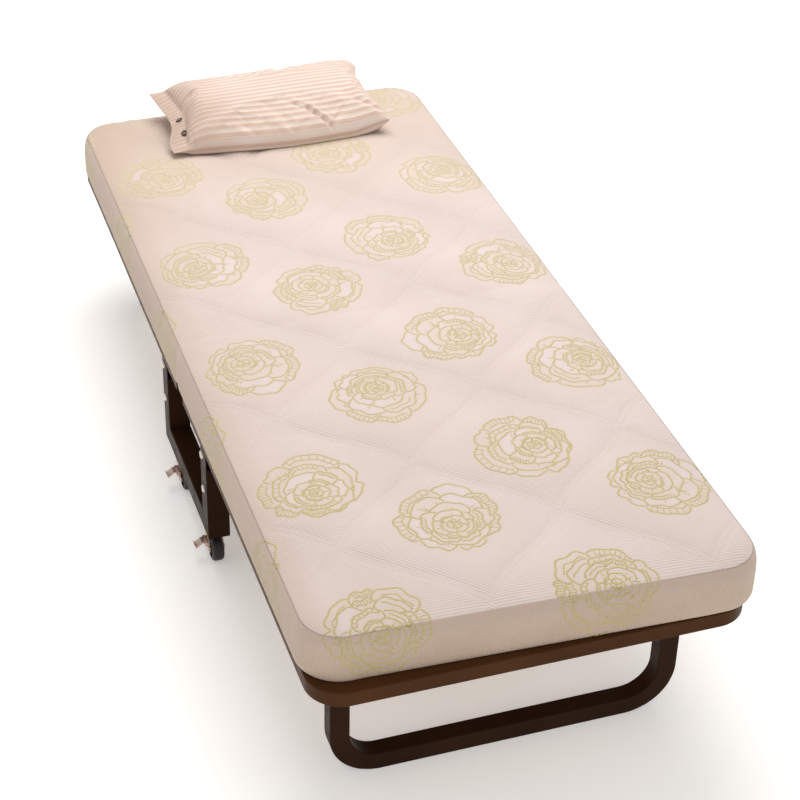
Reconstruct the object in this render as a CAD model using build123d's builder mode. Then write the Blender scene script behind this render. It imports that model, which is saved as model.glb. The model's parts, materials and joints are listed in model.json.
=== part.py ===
from build123d import *
import os

os.makedirs("parts", exist_ok=True)

# ---------------------------------------------------------------------------
# Rollaway bed. Millimetres, +Z up. X runs across the bed, Y along it, with the
# foot end at -Y and the head end at +Y. The origin is on the floor, under the
# middle of the bed. Two decks pivot on a wheeled undercarriage and fold up
# face to face, and a self-levelling leg hangs near the outer end of each deck.
# ---------------------------------------------------------------------------

# Overall sizes
FRAME_LENGTH = 1924.0
FRAME_WIDTH = 790.0
MATTRESS_LENGTH = 1900.0
MATTRESS_WIDTH = 816.0          # a nominal 800 mm pad, measured at its bulging border
MATTRESS_SHIFT = 7.0            # it lies a little towards +X on its frame
MATTRESS_TOP = 428.0
FOLD_Y = -25.0               # the fold line sits a little towards the foot end

# Deck frames
RAIL = 30.0                  # square tube of the deck frames
RAIL_WALL = 2.0
RAIL_CORNER = 65.0           # outer plan radius of a deck's bent corners
RAIL_BOTTOM = 295.0
RAIL_TOP = RAIL_BOTTOM + RAIL
RAIL_END_GAP = 26.0          # from the fold line to the end of a rail
EDGE_RADIUS = 2.0            # rolled edge of the square tubes
RAIL_INNER_X = FRAME_WIDTH / 2 - RAIL

# Deck pivots
PIVOT_Z = 270.0
PIVOT_OFFSET = 163.0         # from the fold line to a deck's pivot
HINGE_BOLT_R = 5.0
HINGE_BORE_R = 5.1

# Undercarriage
SIDE_TUBE = 44.0             # square tube of the two side frames
SIDE_WALL = 2.5
SIDE_OUTER_X = 390.0
SIDE_INNER_X = SIDE_OUTER_X - SIDE_TUBE
SIDE_BOTTOM = 78.0
SIDE_TOP_OF_BAR = SIDE_BOTTOM + SIDE_TUBE
CLEVIS_DEPTH = 25.0          # how far the clevis is cut below the pivot
TIE_TUBE_R = 12.5
TIE_TUBE_Z = 188.0
TIE_BOLT_R = 4.0
TIE_PLUG = 15.0

# End legs
LEG_TUBE = 36.0
LEG_WALL = 2.0
LEG_WIDTH = 657.0
LEG_CORNER = 95.0
LEG_SETBACK = 150.0          # from the deck's end to the middle of the leg
LEG_OUTER_X = LEG_WIDTH / 2
LEG_MID_X = LEG_OUTER_X - LEG_TUBE / 2
LEG_Y = FRAME_LENGTH / 2 - LEG_SETBACK
BRACKET_PLATE = 4.0
BRACKET_GAP = 0.5            # between a leg and the ear of its bracket

# Levelling links: each runs parallel to its deck, outside and below the pivots
LINK_OUT = 34.0
LINK_DOWN = 34.0
LINK_BAR = 18.0
LINK_THICKNESS = 5.0
LINK_INNER_X = 333.5
LINK_PIN_R = 4.0
LINK_Z = PIVOT_Z - LINK_DOWN
LINK_Y_IN = PIVOT_OFFSET + LINK_OUT

# Slats
SLAT_WIDTH = 80.0
SLAT_THICKNESS = 12.0
HOLDER_DEPTH = 18.0
HOLDER_WALL = 4.0
SLAT_CLEARANCE = 0.2

# Casters
CASTER_X = SIDE_OUTER_X - SIDE_TUBE / 2
CASTER_OFFSET = 122.0        # from the fold line to a caster's stem
TRAIL = 28.0                 # from a caster's stem to its wheel
WHEEL_R = 28.0
WHEEL_WIDTH = 24.0
FORK_PLATE = 2.5
FORK_TOP = 72.0
FORK_HALF = 15.5             # outer half width of a fork
AXLE_R = 4.0
LEVER_Y = -18.0              # from the stem to the middle of the brake lever
LEVER_Z = 40.0
LEVER_X = 19.5               # from the stem to the lever's pin
LEVER_PIN_R = 2.0

# Soft parts
SOFT_FOLD = 125.0            # length of mattress that is squeezed at the fold
MATTRESS_CORNER = 75.0
MATTRESS_EDGE = 18.0
SOFT_GAP = 0.25
PILLOW_LENGTH = 500.0
PILLOW_DEPTH = 290.0
PILLOW_THICKNESS = 104.0
PILLOW_X = 21.0
PILLOW_Y = 806.0
PILLOW_TURN = 3.4

CORNERS = {"foot_left": (-1, -1), "foot_right": (1, -1), "head_left": (-1, 1), "head_right": (1, 1)}
ENDS = {"foot": -1, "head": 1}


def save(part, name):
    """Label a finished part and write it to its own STEP file."""
    part.label = name
    export_step(part, f"parts/{name}.step")


# ---------------------------------------------------------------------------
# Undercarriage: two U-shaped side frames joined by two tie tubes
# ---------------------------------------------------------------------------

UPRIGHT_LOW = (SIDE_BOTTOM + PIVOT_Z) / 2
UPRIGHT_HEIGHT = PIVOT_Z - SIDE_BOTTOM
SIDE_LENGTH = 2 * PIVOT_OFFSET + SIDE_TUBE
UPRIGHT_YS = (FOLD_Y - PIVOT_OFFSET, FOLD_Y + PIVOT_OFFSET)
CAVITY = SIDE_TUBE - 2 * SIDE_WALL
CAVITY_TOP = PIVOT_Z + SIDE_TUBE

with BuildPart() as side_frame_left:
    # outer shape: a bar with an upright at each end, rounded about the pivots
    with BuildSketch(Plane.YZ.offset(-SIDE_OUTER_X)) as outline:
        with Locations((FOLD_Y, SIDE_BOTTOM + SIDE_TUBE / 2)):
            Rectangle(SIDE_LENGTH, SIDE_TUBE)
        for upright_y in UPRIGHT_YS:
            with Locations((upright_y, UPRIGHT_LOW)):
                Rectangle(SIDE_TUBE, UPRIGHT_HEIGHT)
            with Locations((upright_y, PIVOT_Z)):
                Circle(SIDE_TUBE / 2)
    extrude(amount=SIDE_TUBE)
    outer_face = side_frame_left.faces().sort_by(Axis.X)[0]
    inner_face = side_frame_left.faces().sort_by(Axis.X)[-1]
    fillet(outer_face.edges() + inner_face.edges(), EDGE_RADIUS)
    # the hollow inside the tube, open at the tops of the uprights
    with BuildSketch(Plane.YZ.offset(-SIDE_OUTER_X + SIDE_WALL)) as hollow:
        with Locations((FOLD_Y, SIDE_BOTTOM + SIDE_TUBE / 2)):
            Rectangle(SIDE_LENGTH - 2 * SIDE_WALL, CAVITY)
        for upright_y in UPRIGHT_YS:
            hollow_height = CAVITY_TOP - SIDE_BOTTOM - SIDE_WALL
            with Locations((upright_y, SIDE_BOTTOM + SIDE_WALL + hollow_height / 2)):
                Rectangle(CAVITY, hollow_height)
    extrude(amount=CAVITY, mode=Mode.SUBTRACT)
    # clevis: the walls that face along the bed stop below the pivot
    with BuildSketch(Plane.YZ.offset(-SIDE_OUTER_X + SIDE_WALL)) as clevis:
        for upright_y in UPRIGHT_YS:
            with Locations((upright_y, PIVOT_Z - CLEVIS_DEPTH + SIDE_TUBE)):
                Rectangle(SIDE_TUBE * 1.5, 2 * SIDE_TUBE)
    extrude(amount=CAVITY, mode=Mode.SUBTRACT)
    # plates on the inner face that carry the levelling links
    with BuildSketch(Plane.YZ.offset(-SIDE_INNER_X)) as link_tabs:
        for sign in (-1, 1):
            link_y = FOLD_Y + sign * LINK_Y_IN
            with Locations((link_y, LINK_Z)):
                Circle(LINK_BAR / 2 + 3)
            with Locations((link_y - sign * LINK_OUT / 2, LINK_Z)):
                Rectangle(LINK_OUT, LINK_BAR + 6)
    extrude(amount=BRACKET_PLATE)
    # bolt holes across the side frame
    with BuildSketch(Plane.YZ.offset(-SIDE_OUTER_X)) as bolt_holes:
        for upright_y in UPRIGHT_YS:
            with Locations((upright_y, PIVOT_Z)):
                Circle(HINGE_BOLT_R + 0.05)
            with Locations((upright_y, TIE_TUBE_Z)):
                Circle(TIE_BOLT_R + 0.05)
    extrude(amount=SIDE_TUBE + BRACKET_PLATE, mode=Mode.SUBTRACT)
    with BuildSketch(Plane.YZ.offset(-SIDE_INNER_X)) as pin_holes:
        with Locations((FOLD_Y - LINK_Y_IN, LINK_Z), (FOLD_Y + LINK_Y_IN, LINK_Z)):
            Circle(LINK_PIN_R + 0.05)
    extrude(amount=BRACKET_PLATE, mode=Mode.SUBTRACT)
    # stem holes for the casters, through the bottom wall
    with BuildSketch(Plane.XY.offset(SIDE_BOTTOM)) as stem_holes:
        with Locations((-CASTER_X, FOLD_Y - CASTER_OFFSET), (-CASTER_X, FOLD_Y + CASTER_OFFSET)):
            Circle(HINGE_BOLT_R + 0.05)
    extrude(amount=SIDE_WALL, mode=Mode.SUBTRACT)
save(side_frame_left.part, "side_frame_left")

with BuildPart() as side_frame_right:
    add(mirror(side_frame_left.part, about=Plane.YZ))
save(side_frame_right.part, "side_frame_right")

for end, sign in ENDS.items():
    with BuildPart() as tie_tube:
        with BuildSketch(Plane.YZ.offset(-SIDE_INNER_X)) as tube_end:
            with Locations((FOLD_Y + sign * PIVOT_OFFSET, TIE_TUBE_Z)):
                Circle(TIE_TUBE_R)
                Circle(TIE_BOLT_R + 0.05, mode=Mode.SUBTRACT)
        extrude(amount=2 * SIDE_INNER_X)
        with BuildSketch(Plane.YZ.offset(-SIDE_INNER_X + TIE_PLUG)) as tube_bore:
            with Locations((FOLD_Y + sign * PIVOT_OFFSET, TIE_TUBE_Z)):
                Circle(TIE_TUBE_R - RAIL_WALL)
        extrude(amount=2 * (SIDE_INNER_X - TIE_PLUG), mode=Mode.SUBTRACT)
    save(tie_tube.part, f"{end}_tie_tube")


def frame_bolt(y, z, shank_r, reach, head_r, head_height):
    """Bolt whose domed head bears on the outer face of the left side frame."""
    with BuildPart() as bolt:
        with BuildSketch(Plane.YZ.offset(-SIDE_OUTER_X - head_height)):
            with Locations((y, z)):
                Circle(head_r)
        extrude(amount=head_height)
        fillet(bolt.edges().sort_by(Axis.X)[0], head_height * 0.75)
        with BuildSketch(Plane.YZ.offset(-SIDE_OUTER_X)):
            with Locations((y, z)):
                Circle(shank_r)
        extrude(amount=reach)
    return bolt.part


def four_bolts(z, shank_r, reach, head_r, head_height):
    """The same bolt at both uprights of both side frames."""
    left = [frame_bolt(y, z, shank_r, reach, head_r, head_height) for y in UPRIGHT_YS]
    with BuildPart() as bolts:
        add(left)
        add([mirror(bolt, about=Plane.YZ) for bolt in left])
    return bolts.part


def across_plane(y, z):
    """Plane along the bed's width whose own X axis passes through (y, z)."""
    return Plane(origin=(0, y, z), x_dir=(1, 0, 0), z_dir=(0, -1, 0))


HINGE_HEAD = 5.0
NUT_HEIGHT = 7.0
NUT_ACROSS = 15.0
save(four_bolts(PIVOT_Z, HINGE_BOLT_R, SIDE_TUBE + NUT_HEIGHT, 9.0, HINGE_HEAD), "hinge_bolts")

with BuildPart() as hinge_nuts:
    for x in (-SIDE_INNER_X, SIDE_INNER_X - NUT_HEIGHT):
        with BuildSketch(Plane.YZ.offset(x)) as nut:
            for upright_y in UPRIGHT_YS:
                with Locations((upright_y, PIVOT_Z)):
                    RegularPolygon(NUT_ACROSS / 2, 6, major_radius=False)
                    Circle(HINGE_BOLT_R + 0.05, mode=Mode.SUBTRACT)
        extrude(amount=NUT_HEIGHT)
save(hinge_nuts.part, "hinge_nuts")

TIE_HEAD = 4.0
save(four_bolts(TIE_TUBE_Z, TIE_BOLT_R, SIDE_TUBE + TIE_PLUG, 8.0, TIE_HEAD), "tie_bolts")

# Pins of the levelling links on the side frames: shank, spacer and inner head
PIN_HEAD = 2.5
LINK_OUTER_X = LINK_INNER_X + LINK_THICKNESS
PIN_GAP = 0.3
with BuildPart() as link_pins_left:
    for sign in (-1, 1):
        pin_y = FOLD_Y + sign * LINK_Y_IN
        with BuildSketch(Plane.YZ.offset(-SIDE_INNER_X)) as shank:
            with Locations((pin_y, LINK_Z)):
                Circle(LINK_PIN_R)
        extrude(amount=SIDE_INNER_X - LINK_INNER_X + PIN_GAP + PIN_HEAD)
        with BuildSketch(Plane.YZ.offset(-SIDE_INNER_X + BRACKET_PLATE)) as spacer:
            with Locations((pin_y, LINK_Z)):
                Circle(LINK_PIN_R + 3)
        extrude(amount=SIDE_INNER_X - BRACKET_PLATE - LINK_OUTER_X - PIN_GAP)
        with BuildSketch(Plane.YZ.offset(-LINK_INNER_X + PIN_GAP)) as pin_head:
            with Locations((pin_y, LINK_Z)):
                Circle(LINK_PIN_R + 3)
        extrude(amount=PIN_HEAD)
with BuildPart() as link_pins:
    add(link_pins_left.part)
    add(mirror(link_pins_left.part, about=Plane.YZ))
save(link_pins.part, "link_pins")

# ---------------------------------------------------------------------------
# Casters: a fixed plate and kingpin, a swivelling fork, axle, wheel and brake lever
# ---------------------------------------------------------------------------

PLATE_R = 18.0
PLATE_THICKNESS = 3.5
KINGPIN_HEAD = 3.0
STEM_LENGTH = 18.0
with BuildPart() as caster_plates:
    for side, end in CORNERS.values():
        stem = (side * CASTER_X, FOLD_Y + end * CASTER_OFFSET)
        for radius, bottom, top in (
            (PLATE_R, SIDE_BOTTOM - PLATE_THICKNESS, SIDE_BOTTOM),
            (HINGE_BOLT_R, FORK_TOP - FORK_PLATE - KINGPIN_HEAD, SIDE_BOTTOM + STEM_LENGTH),
            (HINGE_BOLT_R + 4, FORK_TOP - FORK_PLATE - KINGPIN_HEAD - PIN_GAP, FORK_TOP - FORK_PLATE - PIN_GAP),
        ):
            with BuildSketch(Plane.XY.offset(bottom)) as disc:
                with Locations(stem):
                    Circle(radius)
            extrude(amount=top - bottom)
save(caster_plates.part, "caster_plates")

FORK_HEAD_R = 17.0
AXLE_BOSS_R = 10.0
for name, (side, end) in CORNERS.items():
    stem_x = side * CASTER_X
    stem_y = FOLD_Y + end * CASTER_OFFSET
    axle_y = stem_y - TRAIL
    lever_y = stem_y + LEVER_Y
    lever_x = stem_x + side * LEVER_X

    with BuildPart() as fork:
        # cheeks: from the swivel head down and back to the axle
        with BuildSketch(Plane.YZ.offset(stem_x - FORK_HALF)) as cheek:
            with BuildLine():
                Polyline((stem_y - FORK_HEAD_R, FORK_TOP), (stem_y + FORK_HEAD_R, FORK_TOP),
                         (stem_y + FORK_HEAD_R, FORK_TOP - 8), (axle_y + AXLE_BOSS_R, WHEEL_R),
                         (axle_y - AXLE_BOSS_R, WHEEL_R), (stem_y - FORK_HEAD_R, FORK_TOP - 8),
                         close=True)
            make_face()
            with Locations((axle_y, WHEEL_R)):
                Circle(AXLE_BOSS_R)
        extrude(amount=2 * FORK_HALF)
        # the slot that the wheel runs in
        with BuildSketch(Plane.YZ.offset(stem_x - FORK_HALF + FORK_PLATE)) as slot:
            with Locations((stem_y - TRAIL / 2, (FORK_TOP - FORK_PLATE) / 2)):
                Rectangle(4 * WHEEL_R, FORK_TOP - FORK_PLATE)
        extrude(amount=2 * (FORK_HALF - FORK_PLATE), mode=Mode.SUBTRACT)
        with BuildSketch(Plane.XY.offset(FORK_TOP - FORK_PLATE)) as kingpin_hole:
            with Locations((stem_x, stem_y)):
                Circle(HINGE_BORE_R)
        extrude(amount=FORK_PLATE, mode=Mode.SUBTRACT)
        with BuildSketch(Plane.YZ.offset(stem_x - FORK_HALF)) as axle_hole:
            with Locations((axle_y, WHEEL_R)):
                Circle(AXLE_R + 0.05)
        extrude(amount=2 * FORK_HALF, mode=Mode.SUBTRACT)
        # lugs and pin that carry the brake lever on the outer cheek
        for lug in (-1, 1):
            with BuildSketch(Plane.XZ.offset(-(lever_y + lug * 11.5) + 1.5)) as lug_face:
                with Locations((stem_x + side * (FORK_HALF + 3), LEVER_Z)):
                    Rectangle(8, 9)
            extrude(amount=-3)
        with BuildSketch(Plane.XZ.offset(-(lever_y - 13))) as lever_pin:
            with Locations((lever_x, LEVER_Z)):
                Circle(LEVER_PIN_R)
        extrude(amount=-26)
    save(fork.part, f"caster_fork_{name}")

    with BuildPart() as axle:
        with BuildSketch(across_plane(axle_y, WHEEL_R)) as axle_half:
            with BuildLine():
                Polyline((stem_x - FORK_HALF - 2, 0), (stem_x + FORK_HALF + 2, 0),
                         (stem_x + FORK_HALF + 2, 5), (stem_x + FORK_HALF, 7),
                         (stem_x + FORK_HALF, AXLE_R), (stem_x - FORK_HALF, AXLE_R),
                         (stem_x - FORK_HALF, 7), (stem_x - FORK_HALF - 2, 5), close=True)
            make_face()
        revolve(axis=Axis((0, axle_y, WHEEL_R), (1, 0, 0)))
    save(axle.part, f"caster_axle_{name}")

    with BuildPart() as wheel:
        # half section of the wheel: rounded tread, dished web and a hub with a bore
        with BuildSketch(across_plane(axle_y, WHEEL_R)) as tyre:
            with Locations((stem_x, (WHEEL_R + AXLE_R) / 2)):
                Rectangle(WHEEL_WIDTH, WHEEL_R - AXLE_R - 0.1)
            tread = tyre.vertices().group_by(Axis.Z)[-1]
            fillet(tread, 7.0)
            for dish in (-1, 1):
                with Locations((stem_x + dish * WHEEL_WIDTH / 2, 14.5)):
                    Rectangle(7, 9, mode=Mode.SUBTRACT)
        revolve(axis=Axis((0, axle_y, WHEEL_R), (1, 0, 0)))
    save(wheel.part, f"caster_wheel_{name}")

    with BuildPart() as lever:
        # knuckle round the pin and a stamped pedal that reaches outwards
        with BuildSketch(Plane.XZ.offset(-(lever_y - 9.7))) as knuckle:
            with Locations((lever_x, LEVER_Z)):
                Circle(LEVER_PIN_R + 1.8)
            with BuildLine():
                Polyline((lever_x, LEVER_Z + 1.3), (lever_x + side * 8, LEVER_Z + 1.3),
                         (lever_x + side * 20, LEVER_Z - 9), (lever_x + side * 22.5, LEVER_Z - 5),
                         (lever_x + side * 23.5, LEVER_Z), (lever_x + side * 19.5, LEVER_Z - 5),
                         (lever_x + side * 8.5, LEVER_Z + 3.8), (lever_x, LEVER_Z + 3.8), close=True)
            make_face()
            with Locations((lever_x, LEVER_Z)):
                Circle(LEVER_PIN_R + 0.15, mode=Mode.SUBTRACT)
        extrude(amount=-19.4)
    save(lever.part, f"brake_lever_{name}")

# ---------------------------------------------------------------------------
# Decks, legs and links. Each function makes the part for one end of the bed:
# sign is -1 for the foot end and +1 for the head end.
# ---------------------------------------------------------------------------


def slat_positions(sign):
    """Middle of each slat along Y: one near the fold and two in each gap between the outer tubes."""
    tubes = cross_tube_positions(sign)
    spots = [(tubes[0] + tubes[1]) / 2]
    for near, far in ((tubes[1], tubes[2]), (tubes[2], tubes[3])):
        spots += [near + (far - near) * share for share in (0.32, 0.68)]
    return spots


def cross_tube_positions(sign):
    """Middle of each cross tube along Y: at the fold, over the pivots, halfway and over the leg."""
    inner = FOLD_Y + sign * (RAIL_END_GAP + RAIL / 2)
    pivot = FOLD_Y + sign * PIVOT_OFFSET
    leg = sign * LEG_Y
    return [inner, pivot, (pivot + leg) / 2, leg]


def rounded_strip(width, low, high, radius, round_high):
    """Rectangle from low to high along its second axis, with both corners of one end rounded."""
    with BuildSketch() as strip:
        with Locations((0, (low + high) / 2)):
            Rectangle(width, high - low)
        fillet(strip.vertices().group_by(Axis.Y)[-1 if round_high else 0], radius)
    return strip.sketch


def bent_strip(width, open_end, bent_end, section, radius):
    """Plan of a tube bent into a U: its outer outline, and the outline of the gap inside it."""
    direction = 1 if bent_end > open_end else -1
    outer = rounded_strip(width, min(open_end, bent_end), max(open_end, bent_end), radius, direction > 0)
    gap_open = open_end - direction * section
    gap_bent = bent_end - direction * section
    gap = rounded_strip(width - 2 * section, min(gap_open, gap_bent), max(gap_open, gap_bent),
                        radius - section, direction > 0)
    return outer, gap


def deck_rail(sign):
    """Bent perimeter tube of a deck, open at the two ends that face the fold."""
    near = FOLD_Y + sign * RAIL_END_GAP
    far = sign * FRAME_LENGTH / 2
    outer, gap = bent_strip(FRAME_WIDTH, near, far, RAIL, RAIL_CORNER)
    bore_near = near - sign * RAIL_WALL
    bore_far = far - sign * RAIL_WALL
    bore_outer, bore_gap = bent_strip(FRAME_WIDTH - 2 * RAIL_WALL, bore_near, bore_far,
                                      RAIL - 2 * RAIL_WALL, RAIL_CORNER - RAIL_WALL)
    with BuildPart() as rail:
        with BuildSketch(Plane.XY.offset(RAIL_BOTTOM)):
            add(outer)
            add(gap, mode=Mode.SUBTRACT)
        extrude(amount=RAIL)
        long_edges = rail.faces().sort_by(Axis.Z)[0].edges() + rail.faces().sort_by(Axis.Z)[-1].edges()
        fillet(long_edges.filter_by(lambda e: abs(e.center().Y - near) > 0.1), EDGE_RADIUS)
        with BuildSketch(Plane.XY.offset(RAIL_BOTTOM + RAIL_WALL)):
            add(bore_outer)
            add(bore_gap, mode=Mode.SUBTRACT)
        extrude(amount=RAIL - 2 * RAIL_WALL, mode=Mode.SUBTRACT)
    return rail.part


def cross_tubes(sign):
    """The four square tubes that run across a deck between its side rails."""
    with BuildPart() as tubes:
        with BuildSketch(Plane.YZ.offset(-RAIL_INNER_X)) as ends:
            for y in cross_tube_positions(sign):
                with Locations((y, RAIL_BOTTOM + RAIL / 2)):
                    RectangleRounded(RAIL, RAIL, EDGE_RADIUS)
                    Rectangle(RAIL - 2 * RAIL_WALL, RAIL - 2 * RAIL_WALL, mode=Mode.SUBTRACT)
        extrude(amount=2 * RAIL_INNER_X)
    return tubes.part


LUG_R = 14.0
LUG_TOP = 40.0
LUG_THICKNESS = 18.0
LUG_X = SIDE_OUTER_X - 6.0
BUSH_R = 9.0
BUSH_GAP = 0.4


def hinge_lugs(sign):
    """Forged lugs welded under the side rails, each with a bush for its hinge bolt."""
    pivot_y = FOLD_Y + sign * PIVOT_OFFSET
    with BuildPart() as lug_left:
        with BuildSketch(Plane.YZ.offset(-LUG_X)) as lug:
            with Locations((pivot_y, PIVOT_Z)):
                Circle(LUG_R)
            with BuildLine():
                Polyline((pivot_y - LUG_R, PIVOT_Z), (pivot_y + LUG_R, PIVOT_Z),
                         (pivot_y + LUG_TOP / 2, RAIL_BOTTOM), (pivot_y - LUG_TOP / 2, RAIL_BOTTOM), close=True)
            make_face()
        extrude(amount=LUG_THICKNESS)
        with BuildSketch(Plane.YZ.offset(-SIDE_OUTER_X + SIDE_WALL + BUSH_GAP)) as bush:
            with Locations((pivot_y, PIVOT_Z)):
                Circle(BUSH_R)
        extrude(amount=CAVITY - 2 * BUSH_GAP)
        with BuildSketch(Plane.YZ.offset(-SIDE_OUTER_X)) as bore:
            with Locations((pivot_y, PIVOT_Z)):
                Circle(HINGE_BORE_R)
        extrude(amount=SIDE_TUBE, mode=Mode.SUBTRACT)
    with BuildPart() as lugs:
        add(lug_left.part)
        add(mirror(lug_left.part, about=Plane.YZ))
    return lugs.part


EAR_R = 14.0
BRACKET_BASE = 32.0
BRACKET_INNER_X = LEG_OUTER_X - LEG_TUBE - BRACKET_GAP - BRACKET_PLATE
BRACKET_OUTER_X = LEG_OUTER_X + BRACKET_GAP + BRACKET_PLATE


def leg_brackets(sign):
    """U-shaped brackets under the outer cross tube, whose ears hold a leg between them."""
    leg_y = sign * LEG_Y
    with BuildPart() as bracket_left:
        with BuildSketch(Plane.YZ.offset(-BRACKET_OUTER_X)) as ear:
            with Locations((leg_y, PIVOT_Z)):
                Circle(EAR_R)
            with BuildLine():
                Polyline((leg_y - EAR_R, PIVOT_Z), (leg_y + EAR_R, PIVOT_Z),
                         (leg_y + BRACKET_BASE / 2, RAIL_BOTTOM), (leg_y - BRACKET_BASE / 2, RAIL_BOTTOM),
                         close=True)
            make_face()
        extrude(amount=BRACKET_OUTER_X - BRACKET_INNER_X)
        with BuildSketch(Plane.YZ.offset(-BRACKET_OUTER_X + BRACKET_PLATE)) as room:
            with Locations((leg_y, RAIL_BOTTOM - BRACKET_PLATE - 50)):
                Rectangle(2 * BRACKET_BASE, 100)
        extrude(amount=LEG_TUBE + 2 * BRACKET_GAP, mode=Mode.SUBTRACT)
        with BuildSketch(Plane.YZ.offset(-BRACKET_OUTER_X)) as bolt_hole:
            with Locations((leg_y, PIVOT_Z)):
                Circle(HINGE_BOLT_R + 0.05)
        extrude(amount=BRACKET_OUTER_X - BRACKET_INNER_X, mode=Mode.SUBTRACT)
    with BuildPart() as brackets:
        add(bracket_left.part)
        add(mirror(bracket_left.part, about=Plane.YZ))
    return brackets.part


LEG_BOLT_HEAD = 3.5
LEG_BOLT_HEAD_R = 8.0


def leg_bolts(sign):
    """Pivot bolts of a leg, with a low head on the outside and a riveted end on the inside."""
    leg_y = sign * LEG_Y
    shank = BRACKET_OUTER_X - BRACKET_INNER_X
    with BuildPart() as bolt_left:
        with BuildSketch(across_plane(leg_y, PIVOT_Z)) as bolt_half:
            with BuildLine():
                Polyline((-BRACKET_OUTER_X - LEG_BOLT_HEAD, 0), (-BRACKET_OUTER_X + shank + LEG_BOLT_HEAD, 0),
                         (-BRACKET_OUTER_X + shank + LEG_BOLT_HEAD, 5), (-BRACKET_OUTER_X + shank, LEG_BOLT_HEAD_R),
                         (-BRACKET_OUTER_X + shank, HINGE_BOLT_R), (-BRACKET_OUTER_X, HINGE_BOLT_R),
                         (-BRACKET_OUTER_X, LEG_BOLT_HEAD_R), (-BRACKET_OUTER_X - LEG_BOLT_HEAD, 5), close=True)
            make_face()
        revolve(axis=Axis((0, leg_y, PIVOT_Z), (1, 0, 0)))
    with BuildPart() as bolts:
        add(bolt_left.part)
        add(mirror(bolt_left.part, about=Plane.YZ))
    return bolts.part


LEG_TAB_TOP = 22.0
LEG_TAB_BOTTOM = 50.0
LEG_TAB = 4.0


def end_leg(sign):
    """Closed loop of square tube that stands on the floor, with a tab for each levelling link."""
    leg_y = sign * LEG_Y
    link_y = leg_y + sign * LINK_OUT
    front = Plane.XZ.offset(-leg_y + LEG_TUBE / 2)
    outer, gap = bent_strip(LEG_WIDTH, PIVOT_Z, 0, LEG_TUBE, LEG_CORNER)
    bore_outer, bore_gap = bent_strip(LEG_WIDTH - 2 * LEG_WALL, PIVOT_Z + LEG_TUBE, LEG_WALL,
                                      LEG_TUBE - 2 * LEG_WALL, LEG_CORNER - LEG_WALL)
    with BuildPart() as leg:
        with BuildSketch(front):
            add(outer)
            add(gap, mode=Mode.SUBTRACT)
        extrude(amount=-LEG_TUBE)
        faces = leg.faces().filter_by(Axis.Y).sort_by(Axis.Y)
        long_edges = faces[0].edges() + faces[-1].edges()
        fillet(long_edges.filter_by(lambda e: abs(e.center().Z - PIVOT_Z) > 0.1), EDGE_RADIUS)
        # rounded tops about the pivot
        for x in (-LEG_OUTER_X, LEG_OUTER_X - LEG_TUBE):
            with BuildSketch(Plane.YZ.offset(x)):
                with Locations((leg_y, PIVOT_Z)):
                    Circle(LEG_TUBE / 2)
            extrude(amount=LEG_TUBE)
        # hollow, open at the tops
        with BuildSketch(front.offset(-LEG_WALL)):
            add(bore_outer)
            add(bore_gap, mode=Mode.SUBTRACT)
        extrude(amount=-(LEG_TUBE - 2 * LEG_WALL), mode=Mode.SUBTRACT)
        # tabs for the links, on the outer faces
        for x in (-LEG_OUTER_X - LEG_TAB, LEG_OUTER_X):
            with BuildSketch(Plane.YZ.offset(x)) as tab:
                with Locations((link_y, LINK_Z)):
                    Circle(LINK_BAR / 2 + 2)
                with Locations(((link_y + leg_y) / 2, PIVOT_Z - (LEG_TAB_TOP + LEG_TAB_BOTTOM) / 2)):
                    Rectangle(LINK_OUT + 8, LEG_TAB_BOTTOM - LEG_TAB_TOP - 6)
                with Locations((link_y, LINK_Z)):
                    Circle(LINK_PIN_R + 0.05, mode=Mode.SUBTRACT)
            extrude(amount=LEG_TAB)
        # pivot bores
        with BuildSketch(Plane.YZ.offset(-LEG_OUTER_X)) as pivot_bore:
            with Locations((leg_y, PIVOT_Z)):
                Circle(HINGE_BORE_R)
        extrude(amount=LEG_WIDTH, mode=Mode.SUBTRACT)
    return leg.part


def leg_pins(sign):
    """Pins in a leg's tabs that the levelling links turn on."""
    pin_y = sign * (LEG_Y + LINK_OUT)
    with BuildPart() as pin_left:
        with BuildSketch(Plane.YZ.offset(-LINK_OUTER_X - PIN_GAP - PIN_HEAD)) as pin_head:
            with Locations((pin_y, LINK_Z)):
                Circle(LINK_PIN_R + 3)
        extrude(amount=PIN_HEAD)
        with BuildSketch(Plane.YZ.offset(-LINK_OUTER_X - PIN_GAP)) as shank:
            with Locations((pin_y, LINK_Z)):
                Circle(LINK_PIN_R)
        extrude(amount=LINK_OUTER_X + PIN_GAP - LEG_OUTER_X)
    with BuildPart() as pins:
        add(pin_left.part)
        add(mirror(pin_left.part, about=Plane.YZ))
    return pins.part


def link_bars(sign):
    """Pair of flat bars that keep a leg upright while its deck folds."""
    near = FOLD_Y + sign * LINK_Y_IN
    far = sign * (LEG_Y + LINK_OUT)
    with BuildPart() as bars:
        for x in (-LINK_OUTER_X, LINK_INNER_X):
            with BuildSketch(Plane.YZ.offset(x)) as bar:
                with Locations(((near + far) / 2, LINK_Z)):
                    SlotCenterToCenter(abs(far - near), LINK_BAR)
                with Locations((near, LINK_Z), (far, LINK_Z)):
                    Circle(LINK_PIN_R + 0.15, mode=Mode.SUBTRACT)
            extrude(amount=LINK_THICKNESS)
    return bars.part


def slat(y):
    """One sprung slat, as wide as the gap between the two holders at its ends."""
    half = RAIL_INNER_X - HOLDER_WALL
    with BuildPart() as board:
        with BuildSketch(Plane.YZ.offset(-half)) as section:
            with Locations((y, RAIL_TOP - SLAT_THICKNESS / 2)):
                RectangleRounded(SLAT_WIDTH, SLAT_THICKNESS, 3.0)
        extrude(amount=2 * half)
    return board.part


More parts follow.
